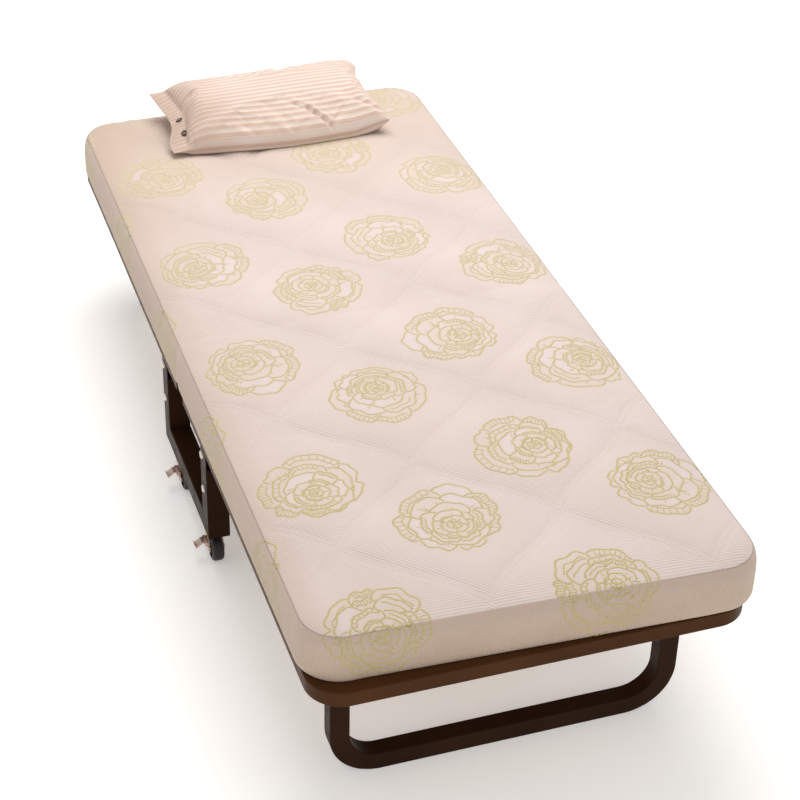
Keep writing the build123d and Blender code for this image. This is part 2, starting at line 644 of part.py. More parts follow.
def slat_holders(sign):
    """Moulded sockets on the inner faces of the side rails, two for each slat."""
    height = SLAT_THICKNESS + HOLDER_WALL + SLAT_CLEARANCE
    with BuildPart() as holders:
        for side in (-1, 1):
            outer = side * RAIL_INNER_X
            start = min(outer, outer - side * HOLDER_DEPTH)
            pocket = start + (HOLDER_WALL if side < 0 else 0)
            for y in slat_positions(sign):
                with BuildSketch(Plane.YZ.offset(start)) as body:
                    with Locations((y, RAIL_TOP - height / 2)):
                        Rectangle(SLAT_WIDTH + 2 * HOLDER_WALL, height)
                extrude(amount=HOLDER_DEPTH)
                with BuildSketch(Plane.YZ.offset(pocket)) as socket:
                    with Locations((y, RAIL_TOP - SLAT_THICKNESS / 2)):
                        Rectangle(SLAT_WIDTH + 2 * SLAT_CLEARANCE, SLAT_THICKNESS + 2 * SLAT_CLEARANCE)
                extrude(amount=HOLDER_DEPTH - HOLDER_WALL, mode=Mode.SUBTRACT)
    return holders.part


for end, sign in ENDS.items():
    save(deck_rail(sign), f"{end}_deck_rail")
    save(cross_tubes(sign), f"{end}_cross_tubes")
    save(hinge_lugs(sign), f"{end}_hinge_lugs")
    save(leg_brackets(sign), f"{end}_leg_brackets")
    save(leg_bolts(sign), f"{end}_leg_bolts")
    save(slat_holders(sign), f"{end}_slat_holders")
    save(end_leg(sign), f"{end}_leg")
    save(leg_pins(sign), f"{end}_leg_pins")
    save(link_bars(sign), f"{end}_link_bars")
    for number, y in enumerate(slat_positions(sign), start=1):
        save(slat(y), f"{end}_slat_{number}")

# ---------------------------------------------------------------------------
# Soft parts: the mattress in four pieces, and a loose pillow
# ---------------------------------------------------------------------------

for end, sign in ENDS.items():
    outer = sign * MATTRESS_LENGTH / 2
    inner = FOLD_Y + sign * SOFT_FOLD
    with BuildPart() as mattress:
        with BuildSketch(Plane.XY.offset(RAIL_TOP)) as plan:
            with Locations((MATTRESS_SHIFT, (outer + inner) / 2)):
                Rectangle(MATTRESS_WIDTH, abs(outer - inner))
            fillet(plan.vertices().group_by(Axis.Y)[-1 if sign > 0 else 0], MATTRESS_CORNER)
        extrude(amount=MATTRESS_TOP - RAIL_TOP)
        rims = mattress.faces().sort_by(Axis.Z)[0].edges() + mattress.faces().sort_by(Axis.Z)[-1].edges()
        fold_edges = rims.filter_by(lambda e: abs(e.center().Y - inner) < 0.1)
        fillet(rims - fold_edges, MATTRESS_EDGE)
    save(mattress.part, f"mattress_{end}")

    with BuildPart() as fold:
        near = FOLD_Y + sign * SOFT_GAP
        with BuildSketch(Plane.XZ.offset(-min(near, inner))) as section:
            with Locations((MATTRESS_SHIFT, (MATTRESS_TOP + RAIL_TOP) / 2)):
                RectangleRounded(MATTRESS_WIDTH, MATTRESS_TOP - RAIL_TOP, MATTRESS_EDGE)
        extrude(amount=-abs(inner - near))
    save(fold.part, f"mattress_fold_{end}")

pillow_bottom = MATTRESS_TOP + 1.0
with BuildPart() as pillow:
    for height, shrink, corner in (
        (0, 100, 60), (0.18, 36, 50), (0.45, 0, 40), (0.55, 0, 40), (0.82, 36, 50), (1, 120, 60),
    ):
        with BuildSketch(Plane.XY.offset(pillow_bottom + height * PILLOW_THICKNESS)) as ring:
            with Locations(Location((PILLOW_X, PILLOW_Y), PILLOW_TURN)):
                RectangleRounded(PILLOW_LENGTH - shrink, PILLOW_DEPTH - shrink, corner)
    loft(ruled=True)
save(pillow.part, "pillow")
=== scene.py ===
"""Rollaway bed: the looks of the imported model, built round its frame in metres."""

import json
import math
import random

import bmesh
import bpy
import numpy as np
from mathutils import Matrix, Vector
from mathutils.bvhtree import BVHTree


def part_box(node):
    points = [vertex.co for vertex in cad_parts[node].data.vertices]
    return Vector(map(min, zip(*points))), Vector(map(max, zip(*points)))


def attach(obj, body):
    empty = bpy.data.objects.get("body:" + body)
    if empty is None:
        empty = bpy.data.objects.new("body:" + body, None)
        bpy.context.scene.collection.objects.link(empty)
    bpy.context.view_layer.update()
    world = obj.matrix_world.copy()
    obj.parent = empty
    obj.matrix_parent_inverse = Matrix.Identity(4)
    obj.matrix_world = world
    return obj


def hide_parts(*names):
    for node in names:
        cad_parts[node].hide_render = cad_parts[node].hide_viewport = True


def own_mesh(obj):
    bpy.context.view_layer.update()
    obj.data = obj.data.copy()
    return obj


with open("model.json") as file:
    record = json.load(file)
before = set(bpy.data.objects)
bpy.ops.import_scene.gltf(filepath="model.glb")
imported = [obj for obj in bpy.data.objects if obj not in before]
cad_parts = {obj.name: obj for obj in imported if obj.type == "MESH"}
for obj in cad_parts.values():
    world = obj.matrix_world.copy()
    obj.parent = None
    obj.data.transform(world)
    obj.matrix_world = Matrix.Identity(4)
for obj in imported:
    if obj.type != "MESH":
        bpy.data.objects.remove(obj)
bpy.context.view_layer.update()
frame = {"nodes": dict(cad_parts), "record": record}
NODES = frame["nodes"]
SCENE = bpy.context.scene
MM = 0.001
ENDS = ("foot", "head")


# ---------------------------------------------------------------- small helpers

def smooth(low, high, value):
    """0 below low, 1 above high, and a smooth step between."""
    t = np.clip((value - low) / (high - low), 0, 1)
    return t * t * (3 - 2 * t)


def hump(value, width):
    """A bell curve, 1 at 0."""
    return np.exp(-(value / width) ** 2)


def new_object(name, points, faces, material=None):
    """A smooth-shaded mesh object from points in metres."""
    mesh = bpy.data.meshes.new(name)
    mesh.from_pydata([tuple(map(float, p)) for p in points], [], faces)
    mesh.validate()
    mesh.shade_smooth()
    obj = bpy.data.objects.new(name, mesh)
    SCENE.collection.objects.link(obj)
    if material:
        mesh.materials.append(material)
    return obj


def coords(mesh):
    """A mesh's points as an array."""
    flat = np.zeros(len(mesh.vertices) * 3, np.float32)
    mesh.vertices.foreach_get("co", flat)
    return flat.reshape(-1, 3).astype(float)


def set_coords(mesh, points):
    """Moves a mesh's points."""
    mesh.vertices.foreach_set("co", np.asarray(points, np.float32).ravel())
    mesh.update()


def shown_mesh(obj):
    """The mesh with its modifiers, as new data."""
    graph = bpy.context.evaluated_depsgraph_get()
    return bpy.data.meshes.new_from_object(obj.evaluated_get(graph), depsgraph=graph)


def refine(obj, levels=1):
    """Applies Catmull-Clark subdivision."""
    subdivision = obj.modifiers.new("subdivision", "SUBSURF")
    subdivision.levels = subdivision.render_levels = levels
    mesh = shown_mesh(obj)
    obj.modifiers.clear()
    obj.data = mesh


def finish_piece(obj, body, slot, *replaced):
    """Rides the piece on its body and hides the CAD parts it replaces."""
    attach(obj, body)
    if replaced:
        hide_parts(*replaced)


def inflate(obj, pinned, frames, pressure, cap, spare=0.0, sewn=()):
    """Runs cloth with air pressure and keeps the result, no point moving farther than the cap."""
    before = coords(obj.data)
    group = obj.vertex_groups.new(name="pinned")
    for index in np.nonzero(pinned > 0.01)[0]:
        group.add([int(index)], float(pinned[index]), "REPLACE")
    if len(sewn):
        mesh = obj.data
        first = len(mesh.edges)
        mesh.edges.add(len(sewn))
        for k, pair in enumerate(sewn):
            mesh.edges[first + k].vertices = pair
    modifier = obj.modifiers.new("cloth", "CLOTH")
    cloth = modifier.settings
    cloth.quality = 6
    cloth.mass = 0.25
    cloth.tension_stiffness = cloth.compression_stiffness = 18
    cloth.shear_stiffness = 6
    cloth.bending_stiffness = 0.4
    cloth.air_damping = 2
    cloth.use_pressure = True
    cloth.uniform_pressure_force = pressure
    cloth.shrink_min = -spare
    cloth.effector_weights.gravity = 0
    cloth.vertex_group_mass = "pinned"
    if len(sewn):
        cloth.use_sewing_springs = True
        cloth.sewing_force_max = 5
    modifier.point_cache.frame_start, modifier.point_cache.frame_end = 1, frames
    SCENE.frame_start, SCENE.frame_end = 1, frames
    for number in range(1, frames + 1):
        SCENE.frame_set(number)
    mesh = shown_mesh(obj)
    moved = coords(mesh) - before
    bpy.data.meshes.remove(mesh)
    obj.modifiers.clear()
    obj.vertex_groups.clear()
    SCENE.frame_set(1)
    length = np.linalg.norm(moved, axis=1, keepdims=True)
    set_coords(obj.data, before + moved * np.minimum(1, cap / np.maximum(length, 1e-9)))


def runs(items, wanted):
    """The unbroken runs of wanted items in a list."""
    run = []
    for item, mine in list(zip(items, wanted)) + [(None, False)]:
        if mine:
            run.append(item)
        elif run:
            yield run
            run = []


def surface(obj):
    """A search tree of the object's faces."""
    return BVHTree.FromPolygons(
        [v.co for v in obj.data.vertices], [p.vertices for p in obj.data.polygons]
    )


class Strips:
    """Gathers closed strips and tubes into one mesh."""

    def __init__(self):
        self.points, self.faces = [], []

    def add(self, rings):
        """One closed strip through rings of equally many points."""
        first, n = len(self.points), len(rings[0])
        for ring in rings:
            self.points.extend(ring)
        for k in range(len(rings) - 1):
            a = first + k * n
            for j in range(n):
                i = (j + 1) % n
                self.faces.append((a + j, a + i, a + n + i, a + n + j))
        last = first + (len(rings) - 1) * n
        self.faces.append(tuple(range(first, first + n))[::-1])
        self.faces.append(tuple(range(last, last + n)))

    def tube(self, line, radius, sides=8):
        """A round tube along a line of points."""
        line = [Vector(p) for p in line]
        up = Vector((0, 0, 1))
        rings = []
        for k, p in enumerate(line):
            ahead = (line[min(k + 1, len(line) - 1)] - line[max(k - 1, 0)]).normalized()
            side = ahead.cross(up)
            side = side.normalized() if side.length > 1e-6 else Vector((1, 0, 0))
            top = side.cross(ahead)
            rings.append([
                p + radius * (side * math.cos(a) + top * math.sin(a))
                for a in (math.tau * j / sides for j in range(sides))
            ])
        self.add(rings)

    def ribbon(self, line, normals, width, height):
        """A flat ridge lying on a surface."""
        rings = []
        for k, (p, n) in enumerate(zip(line, normals)):
            ahead = line[min(k + 1, len(line) - 1)] - line[max(k - 1, 0)]
            side = n.cross(ahead).normalized() * width / 2
            taper = 0.45 if k in (0, len(line) - 1) else 1
            rings.append([
                p - side * taper - n * height, p + side * taper - n * height, p + n * height,
            ])
        self.add(rings)

    def object(self, name, material):
        return new_object(name, self.points, self.faces, material)


# ---------------------------------------------------------------- camera, light, floor

CAMERA_AZIMUTH, CAMERA_ELEVATION, CAMERA_ROLL = map(math.radians, (-19.285, 34.754, 1.459))
CAMERA_TARGET = Vector((0.1597, 0.2441, 0))
CAMERA_DISTANCE = 4.5008
CAMERA_LENS, SENSOR_WIDTH = 90.54, 36     # mm

back = Vector((
    math.sin(CAMERA_AZIMUTH) * math.cos(CAMERA_ELEVATION),
    -math.cos(CAMERA_AZIMUTH) * math.cos(CAMERA_ELEVATION),
    math.sin(CAMERA_ELEVATION),
))
level = Vector((math.cos(CAMERA_AZIMUTH), math.sin(CAMERA_AZIMUTH), 0))
upright = back.cross(level)
right = level * math.cos(CAMERA_ROLL) + upright * math.sin(CAMERA_ROLL)
up = upright * math.cos(CAMERA_ROLL) - level * math.sin(CAMERA_ROLL)
camera = bpy.data.objects.new("camera", bpy.data.cameras.new("camera"))
SCENE.collection.objects.link(camera)
camera.data.sensor_width = SENSOR_WIDTH
camera.data.lens = CAMERA_LENS
camera.matrix_world = Matrix.Translation(CAMERA_TARGET + back * CAMERA_DISTANCE) @ Matrix(
    (right, up, back)
).transposed().to_4x4()
SCENE.camera = camera


def softbox(name, place, size, power, colour, aim=(0, 0, 0.3)):
    """A large soft light."""
    lamp = bpy.data.lights.new(name, "AREA")
    lamp.shape, lamp.size, lamp.size_y = "RECTANGLE", size[0], size[1]
    lamp.energy, lamp.color = power, colour
    obj = bpy.data.objects.new(name, lamp)
    SCENE.collection.objects.link(obj)
    obj.location = place
    obj.rotation_euler = (Vector(aim) - Vector(place)).to_track_quat("-Z", "Y").to_euler()


softbox("top_light", (0.35, 1.2, 3.2), (2.6, 2.6), 92, (1, 0.975, 0.96), aim=(0.05, 0.1, 0.4))
softbox("front_light", (-0.6, -3.4, 2.0), (2.2, 1.6), 13, (1, 0.94, 0.88))

world = bpy.data.worlds.new("studio")
SCENE.world = world
world.use_nodes = True
background = world.node_tree.nodes["Background"]
background.inputs["Color"].default_value = (1, 0.975, 0.945, 1)
background.inputs["Strength"].default_value = 0.6
SCENE.view_settings.view_transform = "Standard"


# ---------------------------------------------------------------- materials

class Paint:
    """A node material round one Principled shader."""

    def __init__(self, name, **constants):
        self.material = bpy.data.materials.new(name)
        self.material.use_nodes = True
        self.tree = self.material.node_tree
        self.tree.nodes.clear()
        self.shader = self.node("BsdfPrincipled")
        output = self.node("OutputMaterial")
        self.tree.links.new(self.shader.outputs[0], output.inputs["Surface"])
        for key, value in constants.items():
            self.shader.inputs[key.replace("_", " ")].default_value = value

    def node(self, kind, values=None, **settings):
        made = self.tree.nodes.new("ShaderNode" + kind)
        for key, value in settings.items():
            setattr(made, key, value)
        for key, value in (values or {}).items():
            self.put(made.inputs[key], value)
        return made

    def put(self, socket, value):
        if isinstance(value, bpy.types.NodeSocket):
            self.tree.links.new(value, socket)
        else:
            socket.default_value = value

    def set(self, key, value):
        self.put(self.shader.inputs[key], value)

    def place(self):
        return self.node("TexCoord").outputs["Object"]

    def map(self, name):
        """A named UV map's two numbers, in metres."""
        split = self.node("SeparateXYZ", {0: self.node("UVMap", uv_map=name).outputs["UV"]})
        return split.outputs["X"], split.outputs["Y"]

    def attribute(self, name):
        return self.node("Attribute", attribute_name=name).outputs["Fac"]

    def noise(self, place, scale, detail=2.0, roughness=0.5):
        return self.node(
            "TexNoise", {"Vector": place, "Scale": scale, "Detail": detail, "Roughness": roughness}
        ).outputs["Fac"]

    def math(self, operation, a, b=0.0, c=0.0):
        made = self.node("Math", {0: a, 1: b, 2: c}, operation=operation)
        return made.outputs[0]

    def span(self, value, low, high, from_low=0.0, from_high=1.0):
        """Maps a value from one range to another, held at the ends."""
        return self.node("MapRange", {
            "Value": value, "From Min": from_low, "From Max": from_high, "To Min": low, "To Max": high,
        }).outputs[0]

    def mix(self, share, a, b):
        made = self.node("Mix", data_type="RGBA")
        self.put(made.inputs[0], share)
        self.put(made.inputs[6], (*a, 1) if isinstance(a, tuple) else a)
        self.put(made.inputs[7], (*b, 1) if isinstance(b, tuple) else b)
        return made.outputs[2]

    def wave(self, value, pitch, phase=0.0):
        """0 to 1 and back, once every pitch."""
        turn = self.math("MULTIPLY_ADD", value, math.tau / pitch, phase)
        return self.math("MULTIPLY_ADD", self.math("SINE", turn), 0.5, 0.5)

    def bump(self, height, distance, strength=1.0):
        values = {"Height": height, "Distance": distance, "Strength": strength}
        old = self.shader.inputs["Normal"].links
        if old:
            values["Normal"] = old[0].from_socket
        self.set("Normal", self.node("Bump", values).outputs[0])


def powder_coat(name, dark, light, gloss):
    """Brown powder coat: fine orange peel and uneven gloss."""
    p = Paint(name, Specular_IOR_Level=gloss)
    place = p.place()
    broad = p.noise(place, 7, 3)
    p.set("Base Color", p.mix(p.span(broad, 0, 1, 0.35, 0.7), dark, light))
    p.set("Roughness", p.span(p.noise(place, 38, 4, 0.6), 0.3, 0.46, 0.3, 0.7))
    p.bump(p.noise(place, 620, 2), 0.00022, 0.5)
    return p.material


def plated(name, dark, light, roughness):
    """Plated steel with faint rolling marks and dull patches."""
    p = Paint(name, Metallic=1.0)
    place = p.place()
    dull = p.noise(place, 85, 4, 0.65)
    p.set("Base Color", p.mix(p.span(dull, 0, 1, 0.3, 0.75), dark, light))
    p.set("Roughness", p.span(dull, roughness - 0.08, roughness + 0.1, 0.3, 0.7))
    p.bump(p.noise(place, 420, 3), 0.0002, 0.35)
    return p.material


def moulded(name, colour, roughness, grain):
    """Moulded rubber or plastic with a fine grain."""
    p = Paint(name, Specular_IOR_Level=0.4)
    place = p.place()
    worn = p.noise(place, 30, 3)
    dusty = tuple(1.8 * c + 0.004 for c in colour)
    p.set("Base Color", p.mix(p.span(worn, 0, 1, 0.4, 0.75), colour, dusty))
    p.set("Roughness", p.span(worn, roughness - 0.06, roughness + 0.12, 0.3, 0.7))
    p.bump(p.noise(place, grain, 2), 0.00025, 0.4)
    return p.material


def birch():
    """Laminated birch with its grain across the bed."""
    p = Paint("slat_birch", Specular_IOR_Level=0.4)
    stretched = p.node("Mapping", {"Vector": p.place(), "Scale": (1.6, 26, 60)}).outputs[0]
    grain = p.noise(stretched, 5, 6, 0.62)
    p.set("Base Color", p.mix(p.span(grain, 0, 1, 0.3, 0.72), (0.5, 0.3, 0.15), (0.72, 0.5, 0.3)))
    p.set("Roughness", p.span(grain, 0.42, 0.62, 0.3, 0.7))
    p.bump(grain, 0.0004, 0.5)
    return p.material


FLOWER_PITCH = (0.198, 0.1955)     # half the repeat across and along the bed
QUILT_START = (-0.083, -0.925)     # one crossing of the stitched lines
DIAMOND = 0.278                    # between neighbouring stitched lines
RIB_PITCH, BORDER_RIB_PITCH = 0.0056, 0.0047


def ticking():
    """Cream quilted knit: diamonds of fine ribs, across and slanting in turn, and the flowers' tint."""
    p = Paint("mattress_ticking", Specular_IOR_Level=0.25, Sheen_Weight=0.25, Sheen_Roughness=0.5)
    x, y = p.map("cloth")
    place = p.node("CombineXYZ", {0: x, 1: y}).outputs[0]
    across = p.math("MULTIPLY", p.math("SUBTRACT", x, QUILT_START[0]), 0.5 / FLOWER_PITCH[0])
    along = p.math("MULTIPLY", p.math("SUBTRACT", y, QUILT_START[1]), 0.5 / FLOWER_PITCH[1])
    slant_a, slant_b = p.math("ADD", across, along), p.math("SUBTRACT", across, along)
    cell = p.math("ADD", p.math("FLOOR", slant_a), p.math("FLOOR", slant_b))
    odd = p.math("ABSOLUTE", p.math("MODULO", cell, 2))
    ribs_across = p.math("MULTIPLY", p.wave(y, RIB_PITCH), p.math("SUBTRACT", 1, odd))
    ribs_slant = p.math("MULTIPLY", p.wave(slant_a, RIB_PITCH / DIAMOND), odd)
    ribs = p.math("ADD", ribs_across, ribs_slant)
    edge = p.math("PINGPONG", slant_a, 0.5)
    near = p.span(edge, 1, 0.25, 0.02, 0.42)
    broad = p.noise(place, 5, 3)
    knit = p.noise(place, 1500, 2)
    motif = p.attribute("motif")
    cloth = p.mix(p.span(broad, 0, 1, 0.35, 0.7), (0.645, 0.548, 0.512), (0.69, 0.593, 0.568))
    # Painted shade: the cloth turns warmer and darker towards the head end and along the left edge.
    left_edge_shade = p.math("MULTIPLY", p.span(x, 0.55, 0, -0.42, -0.2), p.span(y, 0.3, 1, -0.4, 0.7))
    warm_shade = p.math("ADD", p.span(y, 0, 0.7, 0.25, 0.95), left_edge_shade)
    cloth = p.mix(warm_shade, cloth, (0.55, 0.425, 0.33))
    # Painted shade of the rolled top: darker over the last 80 mm towards the left edge.
    cloth = p.mix(p.span(x, 0.55, 0, -0.415, -0.335), cloth, (0.50, 0.39, 0.31))
    cloth = p.mix(p.math("MULTIPLY", ribs, p.math("MULTIPLY", near, 0.14)), cloth, (0.52, 0.43, 0.38))
    cloth = p.mix(p.span(motif, 0, 0.75, 0, 1), cloth, (0.605, 0.52, 0.375))
    cloth = p.mix(p.span(motif, 0, 0.8, 0, -1), cloth, (0.685, 0.60, 0.62))
    cloth = p.mix(p.span(knit, 0, 0.16, 0.35, 0.65), cloth, (0.50, 0.41, 0.36))
    p.set("Base Color", cloth)
    p.set("Roughness", p.span(broad, 0.78, 0.92))
    p.bump(p.math("MULTIPLY", ribs, near), 0.0009, 0.8)
    p.bump(knit, 0.0004, 0.5)
    return p.material


def border_cloth():
    """The mattress border: the same knit with fine upright ribs."""
    p = Paint("mattress_border", Specular_IOR_Level=0.25, Sheen_Weight=0.25, Sheen_Roughness=0.5)
    x, y = p.map("border")
    place = p.node("CombineXYZ", {0: x, 1: y}).outputs[0]
    broad = p.noise(place, 9, 3)
    uneven = p.math("MULTIPLY", p.noise(place, 40, 1), 0.001)
    ribs = p.wave(p.math("ADD", x, uneven), BORDER_RIB_PITCH)
    knit = p.noise(place, 1500, 2)
    cloth = p.mix(p.span(broad, 0, 1, 0.35, 0.7), (0.52, 0.398, 0.308), (0.565, 0.442, 0.352))
    # Painted shade: the border is lighter just under the seam and darker from 60 mm down towards the deck.
    cloth = p.mix(p.span(y, 0.1, 1, 0, -0.06), (0.59, 0.475, 0.40), cloth)
    cloth = p.mix(p.math("MULTIPLY", ribs, 0.14), cloth, (0.45, 0.34, 0.27))
    cloth = p.mix(p.span(knit, 0, 0.16, 0.35, 0.65), cloth, (0.42, 0.32, 0.26))
    p.set("Base Color", cloth)
    p.set("Roughness", p.span(broad, 0.8, 0.92))
    p.bump(ribs, 0.0007, 0.7)
    p.bump(knit, 0.0004, 0.5)
    return p.material


def thread(name, dark, light):
    """Twisted thread, laid in fine stitches."""
    p = Paint(name, Specular_IOR_Level=0.35, Sheen_Weight=0.2)
    place = p.place()
    twist = p.noise(place, 900, 2)
    p.set("Base Color", p.mix(p.span(twist, 0, 1, 0.35, 0.65), dark, light))
    p.set("Roughness", p.span(p.noise(place, 20), 0.55, 0.75))
    p.bump(twist, 0.0003, 0.6)
    return p.material


def flower_thread():
    """The flowers' yarn: olive yellow, paler towards the head end."""
    p = Paint("flower_thread", Specular_IOR_Level=0.3, Sheen_Weight=0.2)
    place = p.place()
    twist = p.noise(place, 900, 2)
    y = p.node("SeparateXYZ", {0: place}).outputs["Y"]
    yarn = p.mix(p.span(twist, 0, 1, 0.35, 0.65), (0.455, 0.385, 0.175), (0.555, 0.47, 0.25))
    p.set("Base Color", p.mix(p.span(y, 0, 0.55, -0.6, 0.8), yarn, (0.62, 0.52, 0.40)))
    p.set("Roughness", p.span(p.noise(place, 20), 0.6, 0.8))
    p.bump(twist, 0.0003, 0.6)
    return p.material


STRIPE = 0.0172     # the pillow stripes' repeat


def striped_cotton():
    """Pillow case cotton: cream and pink-beige stripes of unequal width and a plain weave."""
    p = Paint("pillow_cotton", Specular_IOR_Level=0.25, Sheen_Weight=0.2, Sheen_Roughness=0.45)
    x, y = p.map("cloth")
    place = p.node("CombineXYZ", {0: x, 1: y}).outputs[0]
    band = p.wave(y, STRIPE)
    fine = p.wave(y, STRIPE, 2.4)
    broad = p.noise(place, 8, 2)
    cloth = p.mix(p.span(broad, 0, 1, 0.35, 0.7), (0.73, 0.61, 0.535), (0.77, 0.665, 0.60))
    cloth = p.mix(p.span(band, 0, 1, 0.42, 0.62), cloth, (0.62, 0.455, 0.38))
    cloth = p.mix(p.span(fine, 0, 0.35, 0.86, 0.97), cloth, (0.53, 0.42, 0.37))
    # Painted shade: the cloth darkens and warms over its left 170 mm, towards the open end.
    cloth = p.mix(p.span(x, 0.6, 0, -0.27, -0.10), cloth, (0.42, 0.29, 0.215))
    weave = p.math("MULTIPLY", p.wave(x, 0.0011), p.wave(y, 0.0011))
    p.set("Base Color", p.mix(p.math("MULTIPLY", weave, 0.12), cloth, (0.46, 0.35, 0.29)))
    p.set("Roughness", p.span(broad, 0.72, 0.88))
    p.bump(weave, 0.0003, 0.5)
    p.bump(p.span(band, 0, 1, 0.42, 0.62), 0.0003, 0.4)
    return p.material


SLOT_MATERIALS = {
    "frame_steel": powder_coat("deck_powder_coat", (0.057, 0.022, 0.0075), (0.080, 0.031, 0.0105), 0.05),
    "zinc_steel": plated("zinc_plate", (0.52, 0.47, 0.43), (0.80, 0.75, 0.70), 0.34),
    "nickel_steel": plated("nickel_plate", (0.50, 0.36, 0.31), (0.80, 0.66, 0.59), 0.28),
    "caster_black": moulded("caster_rubber", (0.016, 0.012, 0.011), 0.5, 380),
    "holder_plastic": moulded("holder_plastic", (0.02, 0.019, 0.018), 0.5, 700),
    "slat_wood": birch(),
}
# The frame's one brown powder coat in two copies: the deck rails' lighter one, and this darker one,
# painted shade for the legs and undercarriage under the bed.
SHADED_UNDER_COAT = powder_coat("under_powder_coat_painted_shade", (0.0225, 0.0095, 0.0045), (0.034, 0.0145, 0.0065), 0.04)
TICKING, BORDER, COTTON = ticking(), border_cloth(), striped_cotton()
for part in frame["record"]["subparts"]:
    finish = SLOT_MATERIALS.get(part["material_slot"])
    # Every frame part but the deck rails takes the darker copy with painted shade.
    if part["material_slot"] == "frame_steel" and "deck_rail" not in part["node"]:
        finish = SHADED_UNDER_COAT
    if finish and part["node"] in NODES:
        mesh = NODES[part["node"]].data
        mesh.materials.clear()
        mesh.materials.append(finish)

floor = new_object(
    "floor", [(-14, -14, 0), (14, -14, 0), (14, 14, 0), (-14, 14, 0)], [(0, 1, 2, 3)]
)
floor_paint = Paint(
    "studio_floor", Roughness=0.75, Specular_IOR_Level=0.2,
    Emission_Color=(1, 0.995, 0.985, 1), Emission_Strength=0.3,
)
floor_cloud = floor_paint.span(floor_paint.noise(floor_paint.place(), 0.7), 0, 1, 0.3, 0.7)
floor_paint.set("Base Color", floor_paint.mix(floor_cloud, (0.86, 0.856, 0.852), (0.88, 0.877, 0.873)))
floor.data.materials.append(floor_paint.material)


# ---------------------------------------------------------------- mattress

PAD_LOW = Vector(map(min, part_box("mattress_foot")[0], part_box("mattress_head")[0]))
PAD_HIGH = Vector(map(max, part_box("mattress_foot")[1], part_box("mattress_head")[1]))
FOLD_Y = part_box("mattress_fold_foot")[1].y
MID_X = (PAD_LOW.x + PAD_HIGH.x) / 2
SEAM_INSET = 10 * MM
SEAM_X, SEAM_Y = (PAD_HIGH.x - PAD_LOW.x) / 2 - SEAM_INSET, PAD_HIGH.y - SEAM_INSET
SEAM_Z = PAD_HIGH.z - 12 * MM
CORNER = 68 * MM
GRID = 8 * MM
ROLL_RISE, ROLL_REACH, CROWN = 11.5 * MM, 27 * MM, 2.5 * MM
FULLER, OUT_OF_SQUARE = 1 * MM, 12 * MM
# Outward offset from the seam and height, down the border: mm below the seam, then mm above the deck.
BORDER_PROFILE = [
    (out * MM, SEAM_Z - drop * MM) for out, drop in (
        (0, 0), (2.5, 2.5), (6.5, 10), (9.2, 22), (10, 38), (10, 55), (10, 72), (10, 82),
    )
] + [(out * MM, PAD_LOW.z + lift * MM) for out, lift in ((9.4, 3), (7, 0.8), (2, 0.3))]


def seam_distance(x, y):
    """How far outside the seam's outline a point of the plan is, in metres."""
    qx, qy = np.abs(x - MID_X) - (SEAM_X - CORNER), np.abs(y) - (SEAM_Y - CORNER)
    return np.hypot(np.maximum(qx, 0), np.maximum(qy, 0)) + np.minimum(np.maximum(qx, qy), 0) - CORNER


def outward(x, y):
    """The seam outline's outward direction next to a point of the plan."""
    x -= MID_X
    qx, qy = abs(x) - (SEAM_X - CORNER), abs(y) - (SEAM_Y - CORNER)
    if qx > 0 and qy > 0:
        return Vector((math.copysign(qx, x), math.copysign(qy, y), 0)).normalized()
    if qx > qy:
        return Vector((math.copysign(1, x), 0, 0))
    return Vector((0, math.copysign(1, y), 0))


def askew(points):
    """The soft pad as it lies: its foot end out of square, and its right side a touch fuller."""
    x, y = points[:, 0], points[:, 1]
    moved = points.copy()
    moved[:, 0] += FULLER * smooth(0.95, 0.1, y) * smooth(-0.1, 0.38, x)
    moved[:, 1] -= OUT_OF_SQUARE * np.clip(x / 0.30, -1, 1) * smooth(-0.4, -0.95, y)
    return moved


def quilt_lines(x, y):
    """Distance to the nearest stitched line of the diamonds."""
    a = (x - QUILT_START[0]) / FLOWER_PITCH[0]
    b = (y - QUILT_START[1]) / FLOWER_PITCH[1]
    nearest = []
    for slant, other in ((a + b, a - b), (a - b, a + b)):
        slant = slant + 0.05 * np.sin(math.pi * other)
        nearest.append(np.abs(slant - 2 * np.round(slant / 2)) * (DIAMOND / 2))
    return np.minimum(*nearest)


def top_height(x, y):
    """The top panel before it is padded: rolled to the seam and a little crowned."""
    inside = -seam_distance(x, y)
    rolled = SEAM_Z + ROLL_RISE * (1 - np.exp(-np.maximum(inside, 0) / ROLL_REACH))
    return rolled + CROWN * (1 - ((x - MID_X) / SEAM_X) ** 2)


def stations(half):
    """Grid lines from side to side, closer together at the edges."""
    edge = [0, 3.5 * MM, 8.5 * MM]
    inner = half - 15 * MM
    middle = list(np.linspace(-inner, inner, int(round(2 * inner / GRID)) + 1))
    return [-half + e for e in edge] + middle + [half - e for e in edge[::-1]]


def round_corner(x, y):
    """Maps the corner squares of the seam's box onto round corners."""
    a, b = (abs(x) - SEAM_X + CORNER) / CORNER, (abs(y) - SEAM_Y + CORNER) / CORNER
    if a <= 0 or b <= 0:
        return MID_X + x, y
    return (
        MID_X + math.copysign(SEAM_X - CORNER + CORNER * a * math.sqrt(1 - b * b / 2), x),
        math.copysign(SEAM_Y - CORNER + CORNER * b * math.sqrt(1 - a * a / 2), y),
    )


